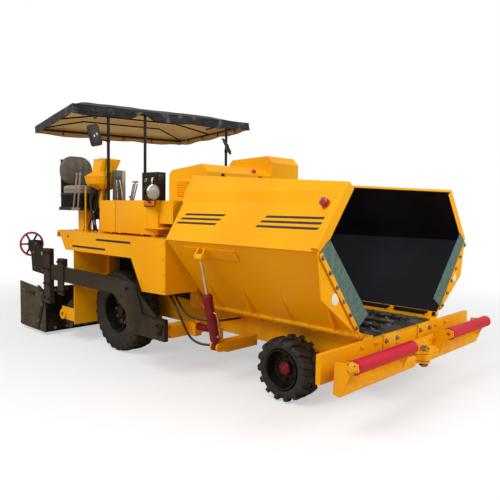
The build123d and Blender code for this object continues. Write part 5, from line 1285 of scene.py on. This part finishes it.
BELLOWS_FOOT, FOLD_PITCH, FOLDS = 1.645, 0.0185, 8
bellows = []
for i in range(FOLDS):
    swell = 0.006 * i
    lower, middle, upper = [[(SEAT_X + u, SEAT_Y + v, BELLOWS_FOOT + FOLD_PITCH * i + up)
                             for u, v in rounded(0.366 + wide + swell, 0.356 + wide + swell, corner)]
                            for wide, corner, up in ((0, 0.075, 0), (0.020, 0.085, 0.0090),
                                                     (0, 0.075, 0.0180))]
    count = len(lower)
    faces = [tuple(range(count - 1, -1, -1)), tuple(range(2 * count, 3 * count))]
    for ring in (0, count):
        faces += [(ring + k, ring + (k + 1) % count, ring + count + (k + 1) % count, ring + count + k)
                  for k in range(count)]
    bellows.append((lower + middle + upper, faces))
piece("seat_bellows", bellows, moulded_black, smooth_below=50)
seat_screws = [((-1.385, SEAT_Y + y, z), (-1, 0, 0)) for y in (-0.13, 0.13) for z in (1.86, 2.14)]
bolts("seat_back_screws", seat_screws, zinc_plate, head=0.014, seed=17)
bolts("seat_foot_bolts", [((SEAT_X + x, SEAT_Y + y, 1.367), UP) for x in (-0.040, 0.130)
                          for y in (-0.065, 0.080)], zinc_plate, head=0.016, seed=18)

seat_vinyl, shader, place = finish("grained_grey_seat_vinyl", 0.46)
tone = over(cloudy(place, 0.20, 0.3, 0.7), "#625C55", "#544F49")
PAN_TOP = 1.862      # the pan under the cushion is paler
low_down = rise(height_of(place), PAN_TOP + 0.004, PAN_TOP - 0.004, "LINEAR")
feed(shader, "Base Color", over(low_down, tone, "#8B8578"))
relief(shader, cloudy(place, 0.0022, 0.3, 0.7, 3.0), 0.0004, 0.6)


def cushion(name, outline, depth, to_place, puff):
    """A padded cushion: its outline and depth as a soft block, blown up a little, then held by its seams."""
    mesh = joined(name, [plate(outline, depth, lambda u, v, w: (u, v, w))])
    obj = bpy.data.objects.new(name, mesh)
    scene.collection.objects.link(obj)
    remesh = obj.modifiers.new("remesh", "REMESH")
    remesh.mode, remesh.voxel_size = "VOXEL", 0.007
    soft = bpy.data.meshes.new_from_object(obj.evaluated_get(bpy.context.evaluated_depsgraph_get()))
    bpy.data.objects.remove(obj)
    low = Vector([min(v.co[i] for v in soft.vertices) for i in range(3)])
    high = Vector([max(v.co[i] for v in soft.vertices) for i in range(3)])
    middle, half = (low + high) / 2, (high - low) / 2
    for vertex in soft.vertices:
        u, v, w = [(vertex.co[i] - middle[i]) / half[i] for i in range(3)]
        edge = min(1.0, max(abs(u), abs(v)))
        dome = 1 - edge ** 3.0
        # the top swells between the sewn channels, the sides bulge round the piping
        channel = 0.5 + 0.5 * math.cos(2 * math.pi * (v * 2.0))
        tuck = puff * 0.30 * channel * (1 - edge ** 6)
        crease = 0.0016 * noise.noise(Vector((u * 4, v * 4, w)) * 1.3)
        pinch = 1 - 0.045 * abs(w) ** 3
        swell = (puff * dome * 0.9 - tuck + crease) * (1 if w > 0 else -0.25) * abs(w)
        vertex.co = Vector((middle.x + u * half.x * pinch, middle.y + v * half.y * pinch,
                            middle.z + w * (half.z - puff * 0.9) + swell))
    for vertex in soft.vertices:
        vertex.co = Vector(to_place(*vertex.co))
    soft.shade_smooth()
    obj = mesh_piece(name, soft, seat_vinyl)
    smoothing = obj.modifiers.new("smoothing", "SMOOTH")
    smoothing.factor, smoothing.iterations = 0.5, 10
    settled = bpy.data.meshes.new_from_object(obj.evaluated_get(bpy.context.evaluated_depsgraph_get()))
    obj.modifiers.clear()
    obj.data = settled
    return obj


BACK, CUSHION = rounded(0.342, 0.410, 0.150, 10), rounded(0.366, 0.366, 0.078, 8)
cushion("seat_back_cushion", BACK, 0.078, lambda u, v, w: (BACK_X + w, SEAT_Y + v, BACK_Z + u), 0.012)
seat_cushion = cushion("seat_cushion", CUSHION, 0.133,
                       lambda u, v, w: (CUSHION_X + u, SEAT_Y + v, 1.7656 + w), 0.014)
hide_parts("seat_cushions")
piping = [pipe([(BACK_X + 0.044, SEAT_Y + v * 0.985, BACK_Z + u * 0.985) for u, v in BACK + BACK[:1]],
               0.0045, 8),
          pipe([(CUSHION_X + u * 0.985, SEAT_Y + v * 0.985, 1.835) for u, v in CUSHION + CUSHION[:1]],
               0.0045, 8)]
piece("seat_piping", piping, moulded_black, smooth_below=60)

# ---------------- canopy
# Coated tarpaulin, black outside and sand-coloured inside, over a light frame of black tube, turned a little.
# It is cut as one sheet with a short valance; it sags between the bows and its hem rises in shallow scallops.
dress("canopy_frame", black_paint)
CANOPY_MIDDLE, CANOPY_TURN = Vector((-1.5194, 0.0)), math.radians(-14)
HALF_LENGTH, HALF_WIDTH, EDGE_Z, CROWN, FRONT_INSET, SIDE_INSET = 1.055, 1.120, 2.760, 0.130, 0.550, 0.350
BOW_REACH, SAG, SCALLOP, VALANCE = 0.600, 0.013, 0.70, 0.106


def under_canopy(along, aside, z):
    """A point given along and to the side of the turned canopy's middle."""
    return Vector((CANOPY_MIDDLE.x + along * math.cos(CANOPY_TURN) - aside * math.sin(CANOPY_TURN),
                   CANOPY_MIDDLE.y + along * math.sin(CANOPY_TURN) + aside * math.cos(CANOPY_TURN), z))


def roof_height(along, aside):
    """Height of the sheet over the frame, with its sag between the bows."""
    inside = min(HALF_LENGTH - abs(along), HALF_WIDTH - abs(aside))
    from_side = min(1.0, max(0.0, HALF_WIDTH - abs(aside)) / SIDE_INSET)
    swell = (1 - (1 - from_side) ** 2.2) * min(1.0, (HALF_LENGTH - abs(along)) / FRONT_INSET)
    between_bows = 0.5 - 0.5 * math.cos(2 * math.pi * along / BOW_REACH)
    sag = SAG * between_bows * swell if abs(along) < BOW_REACH else 0
    wrinkle = 0.006 * noise.noise(Vector((along * 2.3, aside * 5.5, 0.3))) * min(1.0, inside / 0.06)
    return EDGE_Z + CROWN * swell - sag + wrinkle - 0.002


CELLS, DROP_STEPS = 96, 7
stations = [-1 + 2 * i / CELLS for i in range(CELLS + 1)]
canopy_points, canopy_faces = [], []
for t in stations:
    for s in stations:
        along, aside = t * HALF_LENGTH, s * HALF_WIDTH
        canopy_points.append(under_canopy(along, aside, roof_height(along, aside)))
for i in range(CELLS):
    for j in range(CELLS):
        a = i * (CELLS + 1) + j
        canopy_faces.append((a, a + 1, a + CELLS + 2, a + CELLS + 1))
edge = ([(0, j) for j in range(CELLS)] + [(i, CELLS) for i in range(CELLS)]
        + [(CELLS, j) for j in range(CELLS, 0, -1)] + [(i, 0) for i in range(CELLS, 0, -1)])
above = [i * (CELLS + 1) + j for i, j in edge]
for step in range(1, DROP_STEPS + 1):
    share = step / DROP_STEPS
    below = []
    for i, j in edge:
        along, aside = stations[i] * HALF_LENGTH, stations[j] * HALF_WIDTH
        run = along + aside * 1.07 if i in (0, CELLS) else aside + along * 1.07
        to_corner = math.hypot(HALF_LENGTH - abs(along), HALF_WIDTH - abs(aside))
        scallop = (0.5 + 0.5 * math.cos(2 * math.pi * run / SCALLOP)) ** 2
        drop = VALANCE - 0.014 * scallop - 0.012 * math.exp(-(to_corner / 0.16) ** 2)
        if i == CELLS:      # the front hem hangs low by the ends and is hitched up at the middle post
            drop += (0.026 * math.exp(-((aside + 1.00) / 0.13) ** 2)
                     - 0.060 * math.exp(-((aside + 0.32) / 0.085) ** 2))
        wave = (0.005 * math.sin(2 * math.pi * run / 0.31)
                + 0.010 * noise.noise(Vector((run * 4.0, share, 1.7))))
        out = 1 + (wave + 0.002) * share ** 1.2
        below.append(len(canopy_points))
        canopy_points.append(under_canopy(along * out, aside * out, EDGE_Z - 0.002 - drop * share))
    for k in range(len(edge)):
        n = (k + 1) % len(edge)
        canopy_faces.append((above[k], above[n], below[n], below[k]))
    above = below
hem_line = [canopy_points[k] for k in above] + [canopy_points[above[0]]]
tarpaulin, shader, place = finish("coated_tarpaulin_outside", 0.48, specular=0.25)
folds = cloudy(place, 0.11, 0.42, 0.72, 5.0, (1, 0.45, 1))
tone = over(folds, "#121319", "#24262E")
# pale grey-blue patches laid over the cloth are painted sheen: the highlights caught on the wrinkles of the
# coated cloth
painted_sheen_patches = times(cloudy(place, 0.14, 0.54, 0.74, 5.0, (0.6, 1.3, 1)), 0.5)
feed(shader, "Base Color", over(painted_sheen_patches, tone, "#7A8590"))
relief(shader, cloudy(place, 0.055, 0.3, 0.7, 5.0, (1, 0.5, 1)), 0.010, 0.75)
lit_through_lining, shader, place = finish("sand_tarpaulin_inside_lit_through", 0.75)
# the lining's pale sand is brightened to stand for daylight shining through the cloth, which is painted
# light; below the roof's edge the valance keeps a darker sand, without that painted light
valance = worked("LESS_THAN", height_of(place), EDGE_Z - ROAD_HEIGHT - 0.012)
tone = over(cloudy(place, 0.25, 0.3, 0.7), "#FFF0CC", "#F8E6BE")
feed(shader, "Base Color", over(valance, tone, "#E2BE8C"))
relief(shader, cloudy(place, 0.09, 0.3, 0.7, 3.0, (1, 0.5, 1)), 0.004, 0.4)
sheet_mesh = bpy.data.meshes.new("canopy_tarpaulin")
sheet_mesh.from_pydata(canopy_points, [], canopy_faces)
built = bmesh.new()
built.from_mesh(sheet_mesh)
bmesh.ops.recalc_face_normals(built, faces=built.faces)
if sum(face.normal.z for face in built.faces) < 0:
    bmesh.ops.reverse_faces(built, faces=built.faces)
built.to_mesh(sheet_mesh)
built.free()
sheet_mesh.materials.append(tarpaulin)
sheet_mesh.materials.append(lit_through_lining)
carrier = bpy.data.objects.new("canopy_tarpaulin_flat", sheet_mesh)
scene.collection.objects.link(carrier)
thick = carrier.modifiers.new("thickness", "SOLIDIFY")
thick.thickness, thick.offset, thick.material_offset, thick.material_offset_rim = 0.0025, -1.0, 1, 0
canopy_mesh = bpy.data.meshes.new_from_object(carrier.evaluated_get(bpy.context.evaluated_depsgraph_get()))
bpy.data.objects.remove(carrier)
canopy_mesh.shade_smooth()
canopy_mesh.set_sharp_from_angle(angle=math.radians(60))
sides_of_cloth = [polygon.material_index for polygon in canopy_mesh.polygons]
canopy = mesh_piece("canopy_tarpaulin", canopy_mesh, tarpaulin)
canopy_mesh.materials.append(lit_through_lining)
for polygon, index in zip(canopy_mesh.polygons, sides_of_cloth):
    polygon.material_index = index
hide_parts("canopy_sheet")
piece("canopy_hem_rope", [pipe(hem_line, 0.0045, 8)], tarpaulin, smooth_below=60)

# Tie straps wrapped round the tubes under the sheet, and collars on the posts with bolts at their feet.
FRONT_ALONG, SIDE_ACROSS, TUBE_Z = 1.0297, 1.0947, 2.720
STRAP_END = [(0, 0), (0, 0.006), (0.034, 0.010), (0.042, 0.004), (0.042, 0)]
# places along and aside, the way along and aside that the tube runs, the wrap's radius, the end's drop
ties = [(along, aside, 0, 1, 0.0165, -0.012) for aside in (-0.75, -0.30, 0.15, 0.60)
        for along in (-FRONT_ALONG, FRONT_ALONG)]
ties += [(along, aside, 1, 0, 0.0145, -0.010) for along in (-0.72, -0.24, 0.24, 0.72)
         for aside in (-SIDE_ACROSS, SIDE_ACROSS)]
straps = []
for along, aside, run_along, run_aside, radius, hang in ties:
    at = under_canopy(along, aside, TUBE_Z)
    way = (under_canopy(along + run_along, aside + run_aside, TUBE_Z) - at).normalized()
    straps.append(rod(0.026, radius, at, way, 16))
    straps.append(turned(STRAP_END, at + Vector((0, 0, hang)) + way * 0.013, (0, 0, -1), 10))
piece("canopy_tie_straps", straps, tarpaulin, smooth_below=50)
foot_bolts, collars = [], []
for aside in (-0.720, -0.285, 0.800):
    foot = under_canopy(FRONT_ALONG, aside, 1.365)
    foot_bolts += [(foot + Vector((0.040 * math.cos(a), 0.040 * math.sin(a), 0)), UP) for a in CORNER_ANGLES]
    collars.append(solid([(0, 0.030), (0.004, 0.028), (0.018, 0.0185)], foot, UP, 24))
    collars.append(rod(0.050, 0.0195, foot + Vector((0, 0, 0.62)), UP, 24))
bolts("canopy_post_bolts", foot_bolts, zinc_plate, head=0.012, seed=19)
piece("canopy_post_collars", collars, black_paint, smooth_below=50)

# ---------------- mirrors
# Moulded black housings with rounded corners and silvered glass.
# Each is on a short bent arm clamped to a post of the canopy, and tipped a little.
mirror_glass = mottled("silvered_mirror_glass", 0.04, "#D8DCDF", "#C9CED2", 0.2, 0.3, metallic=1.0)
MIRRORS = {      # post's place to the side, centre, width, height, turn about the upright, lean sideways, tip
    "right": (-0.720, Vector((-0.690, -1.122, 2.431)), 0.135, 0.236, -0.10, 0.0, 0.25),
    "left": (0.800, Vector((-0.215, 0.430, 2.420)), 0.125, 0.215, 0.70, -0.48, 0.0),
}
for label, (aside, middle, width, height, yaw, lean, tip) in MIRRORS.items():
    turn = Matrix.Rotation(yaw, 3, "Z") @ Matrix.Rotation(lean, 3, "Y") @ Matrix.Rotation(tip, 3, "X")
    shape = rounded(height, width, 0.030, 5)

    def on_mirror(u, v, w):
        return middle + turn @ Vector((w, v, u))

    housing = plate(shape, 0.026, lambda u, v, w: on_mirror(u, v, w - 0.012))
    back = plate([(u * 0.80, v * 0.78) for u, v in shape], 0.010, lambda u, v, w: on_mirror(u, v, 0.014 + w))
    glass = plate([(u * 0.93, v * 0.90) for u, v in shape], 0.002,
                  lambda u, v, w: on_mirror(u, v, w - 0.0135))
    post = under_canopy(FRONT_ALONG, aside, middle.z - 0.045)
    inner = on_mirror(-0.045, 0, 0.016)
    toward = (inner - post).normalized()
    clamp = rod(0.034, 0.0215, post - Vector((0, 0, 0.017)), UP, 20)
    arm = pipe([post + toward * 0.018, post + toward * 0.045, inner - toward * 0.006], 0.008)
    obj = piece(f"mirror_housing_{label}", [housing, back], moulded_black, bevel=0.005)
    piece(f"mirror_arm_{label}", [arm, clamp], black_paint, smooth_below=50)
    piece(f"mirror_glass_{label}", [glass], mirror_glass)
    bolts(f"mirror_screws_{label}", [(on_mirror(u, v, 0.024), turn @ Vector((1, 0, 0)))
                                     for u, v in ((0.012, 0.018), (-0.006, -0.018))], zinc_plate,
          head=0.011, seed=25)
    if label == "right":
        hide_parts("mirrors")

# ---------------- tow arms
# Flame-cut plate in satin black-brown: a long arm each side, pinned at the front, bolted to a tower
# on the screed.
dress("tow_arms", dark_enamel)
dress("depth_screws", enamel("cast_brown_black_paint", "#241F1C", "#1A1715", 0.5, dust=0.15))
ARM_FACE, CLAMP_FACE, PIN = 1.250, 1.262, Vector((0.680, 0, 0.480))
# the hand wheels
WHEEL_X, WHEEL_Y, WHEEL_Z, WHEEL_RADIUS, GRIP_RADIUS = -2.181, 1.180, 1.150, 0.146, 0.0135
for label, side in SIDES.items():
    outwards = (0, side, 0)
    beads = [pipe([(x0, side * ARM_FACE, z0), (x1, side * ARM_FACE, z1)], radius, 8)
             for x0, z0, x1, z1, radius in ((-0.096, 0.740, 0.105, 0.744, 0.004),
                                            (-1.514, 0.775, -1.514, 0.925, 0.006),
                                            (0.160, 0.476, 0.470, 0.590, 0.003))]
    # the thin black strip along the arm's upper part is painted shadow: the shade under the ledge of the
    # arm's top flange
    edges = [plate([(-1.160, 0.914), (-0.080, 0.893), (-0.080, 0.899), (-1.160, 0.920)], 0.0025,
                   on_side(ARM_FACE, side))]
    retainer = solid([(0, 0.036), (0.006, 0.036), (0.008, 0.032)], PIN + Vector((0, side * ARM_FACE, 0)),
                     outwards, 36)
    keeper = plate(rect(0.630, 0.532, 0.730, 0.552), 0.010, on_side(ARM_FACE, side))
    piece(f"tow_arm_fittings_and_shadow_line_{label}", beads + edges + [retainer, keeper], black_paint,
          "screed", bevel=0.001)
    # the leg's side plate, the flange down its front edge, and the web in the corner ahead of it; the flange
    # is black, darker than the arm, as painted shade for the gap between the leg and the web
    leg = plate([(-0.118, 0.750), (0.125, 0.592), (0.125, 0.480), (0.170, 0.410), (0.330, 0.410),
                 (0.405, 0.602), (0.268, 0.903), (0.062, 0.908)], 0.022, on_side(ARM_FACE - 0.021, side))
    flange = plate([(0.256, 0.908), (0.270, 0.912), (0.414, 0.613), (0.752, 0.606), (0.752, 0.598),
                    (0.402, 0.600)], 0.052, on_side(ARM_FACE - 0.044, side))
    web = plate([(0.318, 0.812), (0.408, 0.610), (0.640, 0.604)], 0.010, on_side(ARM_FACE - 0.018, side))
    piece(f"tow_arm_leg_plates_{label}", [leg, web], dark_enamel, "screed", bevel=0.001)
    piece(f"tow_arm_flange_painted_shade_{label}", [flange], black_paint, "screed", bevel=0.001)
    heads = [((PIN.x + 0.018 * math.cos(a), side * 1.258, PIN.z + 0.018 * math.sin(a)), outwards)
             for a in (0.5, 3.6)]
    heads += ([((x, side * 1.260, 0.542), outwards) for x in (0.648, 0.712)]
              + [((0.130, side * ARM_FACE, 0.836), outwards)])
    heads += [((x, side * CLAMP_FACE, z), outwards) for x in (-1.295, -1.197) for z in (0.64, 0.99)]
    heads += [((x, side * CLAMP_FACE, z), outwards) for x in (-1.650, -1.540)
              for z in (0.52, 0.70, 0.88, 1.08)]
    bolts(f"tow_arm_bolts_{label}", heads, dark_enamel, "screed", head=0.024, seed=20)

    # bracket of the depth screw: its cover plate with screws, a beige lifting tag, the hand wheel's red rim
    cover = block((-2.125, side * 1.231, 1.108), (-2.015, side * 1.235, 1.192))
    neck = solid([(0, 0.040), (0.012, 0.040), (0.018, 0.030), (0.028, 0.030)],
                 (-2.140, side * WHEEL_Y, WHEEL_Z), (-1, 0, 0), 28)
    hub = turned([(0, 0.030), (0.004, 0.036), (0.010, 0.034), (0.016, 0.020), (0.018, 0)],
                 (-2.172, side * WHEEL_Y, WHEEL_Z), FORWARD, 28)
    piece(f"depth_screw_covers_{label}", [cover, neck, hub], dark_enamel, "screed",
          bevel=0.001, smooth_below=50)
    heads = [((x, side * 1.235, z), outwards) for x in (-2.115, -2.025) for z in (1.118, 1.182)]
    heads += [((x, side * ARM_FACE, z), outwards)
              for x, z in ((-1.90, 1.170), (-1.98, 1.060), (-1.93, 0.870), (-1.73, 0.850))]
    bolts(f"depth_screw_bolts_{label}", heads, zinc_plate, "screed", head=0.014, seed=21)
    tag = [(-1.744, 1.034), (-1.724, 1.034), (-1.720, 1.045), (-1.720, 1.072), (-1.728, 1.082),
           (-1.740, 1.082), (-1.748, 1.072), (-1.748, 1.045)]
    piece(f"lifting_tag_{label}", [plate(tag, 0.008, on_side(ARM_FACE, side))], beige_enamel,
          "screed", bevel=0.002)
    section = [(GRIP_RADIUS * math.cos(angle), WHEEL_RADIUS + GRIP_RADIUS * math.sin(angle))
               for angle in (k * math.pi / 6 for k in range(12))]
    grip = ring_shape(section, (0, 0, 0), 1, 72)
    spokes = []
    for k in range(6):
        ray = Vector((0, math.cos(k * math.pi / 3), math.sin(k * math.pi / 3)))
        skew = Vector((0, -ray.z, ray.y))
        spokes.append(plate([(0.026, -0.021), (0.060, -0.011), (0.140, -0.010), (0.140, 0.010),
                             (0.060, 0.011), (0.026, 0.021)], 0.020,
                            lambda u, v, w: (Vector((WHEEL_X - 0.010 + w, side * WHEEL_Y, WHEEL_Z))
                                             + ray * u + skew * v)))
    piece(f"hand_wheel_spokes_{label}", spokes, dark_enamel, "screed", bevel=0.003)
    grip = ([(WHEEL_X + y, side * WHEEL_Y + x, WHEEL_Z + z) for x, y, z in grip[0]], grip[1])
    piece(f"hand_wheel_grip_{label}", [grip], glossy_red, "screed", smooth_below=60)

# ---------------- screed
# Heated steel smoothing plate under a black box, with a chequered walkway and tall end gates of bare steel.
# Each end gate has a curved runner bolted to its face; its slot and recessed handhold are flat black plates
# on the face, painted shade standing for the dark in these openings.
dress("screed_body", black_paint)
gate_steel, shader, place = finish("scraped_end_gate_steel", 0.50, metallic=0.25, specular=0.3)
tone = over(cloudy(place, 0.30, 0.3, 0.7, 5.0), "#4E4A40", "#3B382F")
scuffed = times(cloudy(place, 0.03, 0.58, 0.80, 6.0, (0.15, 1, 1)), 0.6)
feed(shader, "Base Color", over(scuffed, tone, "#7A7466"))
relief(shader, cloudy(place, 0.02, 0.3, 0.7, 6.0), 0.0008, 0.4)
dress("screed_end_gates", gate_steel)
RUNNER = ((-1.800, 0.652), (-1.740, 0.620), (-1.692, 0.560), (-1.682, 0.500), (-1.700, 0.420),
          (-1.745, 0.320), (-1.800, 0.205), (-1.850, 0.085))
for label, side in SIDES.items():
    at_gate = on_side(ARM_FACE, side)
    inner_edge = [(x - 0.080, z - 0.004) for x, z in RUNNER[::-1]]
    # the handhold and the slot are flat black plates: painted shade for the dark inside these openings
    handhold_shade = [(-2.158, 0.512), (-1.950, 0.512), (-1.944, 0.518), (-1.944, 0.540), (-1.950, 0.546),
            (-2.158, 0.546), (-2.164, 0.540), (-2.164, 0.518)]
    shapes = [plate(list(RUNNER) + inner_edge, 0.008, at_gate), plate(handhold_shade, 0.002, at_gate),
              plate(rect(-2.023, 0.325, -2.009, 0.391), 0.002, at_gate)]
    shapes += [rod(0.002, 0.014, (x, side * ARM_FACE, z), (0, side, 0), 20)
               for x, z in ((-2.093, 0.246), (-2.321, 0.240))]
    piece(f"end_gate_runner_and_painted_openings_{label}", shapes, black_paint, "screed", bevel=0.0008)
    lips = [pipe([(-2.172, side * 1.251, z), (-1.936, side * 1.251, z)], 0.004, 8) for z in (0.506, 0.552)]
    lips.append(block((-2.393, side * 1.2502, 0.092), (-1.960, side * 1.2540, 0.112)))
    piece(f"end_gate_lips_{label}", lips, gate_steel, "screed", bevel=0.0006)
    heads = [((x, side * ARM_FACE, z), (0, side, 0))
             for x, z in ((-2.269, 0.553), (-2.259, 0.490), (-1.891, 0.584), (-1.893, 0.520))]
    heads += [((x - 0.040, side * 1.258, z), (0, side, 0)) for x, z in RUNNER[2:7:2]]
    bolts(f"end_gate_bolts_{label}", heads, zinc_plate, "screed", head=0.018, seed=22)

# Chequered walkway: raised bars set crosswise and lengthwise by turns; then the smoothing plate's bolts.
BAR_STEP, WALK_Z = 0.040, 0.5002
bars = []
for i in range(56):
    y, long_x, long_y = -1.120 + BAR_STEP * i, *((0.013, 0.0035) if i % 2 else (0.0035, 0.013))
    for x, a, b in ((-2.345, long_x, long_y), (-2.345 + BAR_STEP / 2, long_y, long_x)):
        bars.append(plate([(x - a, y), (x, y - b), (x + a, y), (x, y + b)], 0.0022, on_top(WALK_Z)))
row("walkway_treads", bars, 6, (BAR_STEP, 0, 0), black_paint, "screed")
bolts("smoothing_plate_bolts", [((-2.335, -1.12 + 0.16 * i, 0.135), (-1, 0, 0)) for i in range(15)]
      + [((-1.677, -1.12 + 0.16 * i, z), FORWARD) for i in range(15) for z in (0.12, 0.60)], zinc_plate,
      "screed", head=0.020, seed=23)

# ---------------- augers
# Two spreading screws of opposite hand on one line: a helical flight welded round a tube, filmed like
# the hopper's floor.
AUGER_X, AUGER_Z, FLIGHT_RADIUS, TUBE_RADIUS = -1.370, 0.345, 0.180, 0.038
FLIGHT_START, FLIGHT_END, PITCH, FLIGHT_HALF, STATIONS = 0.132, 1.118, 0.200, 0.004, 30
for label, side in SIDES.items():
    tube = solid([(0, 0.030), (0.025, 0.030), (0.025, TUBE_RADIUS), (1.015, TUBE_RADIUS), (1.015, 0.030),
                  (1.060, 0.030)], (AUGER_X, side * 0.105, AUGER_Z), (0, side, 0), 32)
    steps = round((FLIGHT_END - FLIGHT_START - 2 * FLIGHT_HALF) / PITCH * STATIONS)
    corners = []
    for i in range(steps + 1):
        angle = 2 * math.pi * i / STATIONS
        out = FLIGHT_START + FLIGHT_HALF + i * PITCH / STATIONS
        for radius, half in ((TUBE_RADIUS - 0.006, FLIGHT_HALF), (FLIGHT_RADIUS, 0.0025)):
            for way in (-1, 1):
                corners.append((AUGER_X + radius * math.cos(angle), side * (out + way * half),
                                AUGER_Z + radius * math.sin(angle)))
    faces = [(i * 4 + a, i * 4 + b, i * 4 + 4 + b, i * 4 + 4 + a) for i in range(steps)
             for a, b in ((0, 1), (1, 3), (3, 2), (2, 0))]
    last = steps * 4
    flight = corners, faces + [(0, 1, 3, 2), (last, last + 1, last + 3, last + 2)]
    auger = piece(f"auger_flight_{label}", [tube, flight], worn_steel, f"auger_{label}",
                  smooth_below=40)
    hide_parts(f"auger_{label}")
    clamps = [turned([(0, TUBE_RADIUS), (0, 0.052), (0.030, 0.052), (0.030, TUBE_RADIUS)],
                     (AUGER_X, side * out, AUGER_Z), (0, side, 0), 24) for out in (0.585, 0.6155)]
    piece(f"auger_couplings_{label}", clamps, dark_enamel, f"auger_{label}", bevel=0.001)
    heads = [((AUGER_X + 0.052 * math.cos(a), side * out, AUGER_Z + 0.052 * math.sin(a)),
              (math.cos(a), 0, math.sin(a))) for out in (0.600, 0.6305) for a in (0.4, 2.5, 4.6)]
    bolts(f"auger_coupling_bolts_{label}", heads, zinc_plate, f"auger_{label}", head=0.014,
          seed=24)
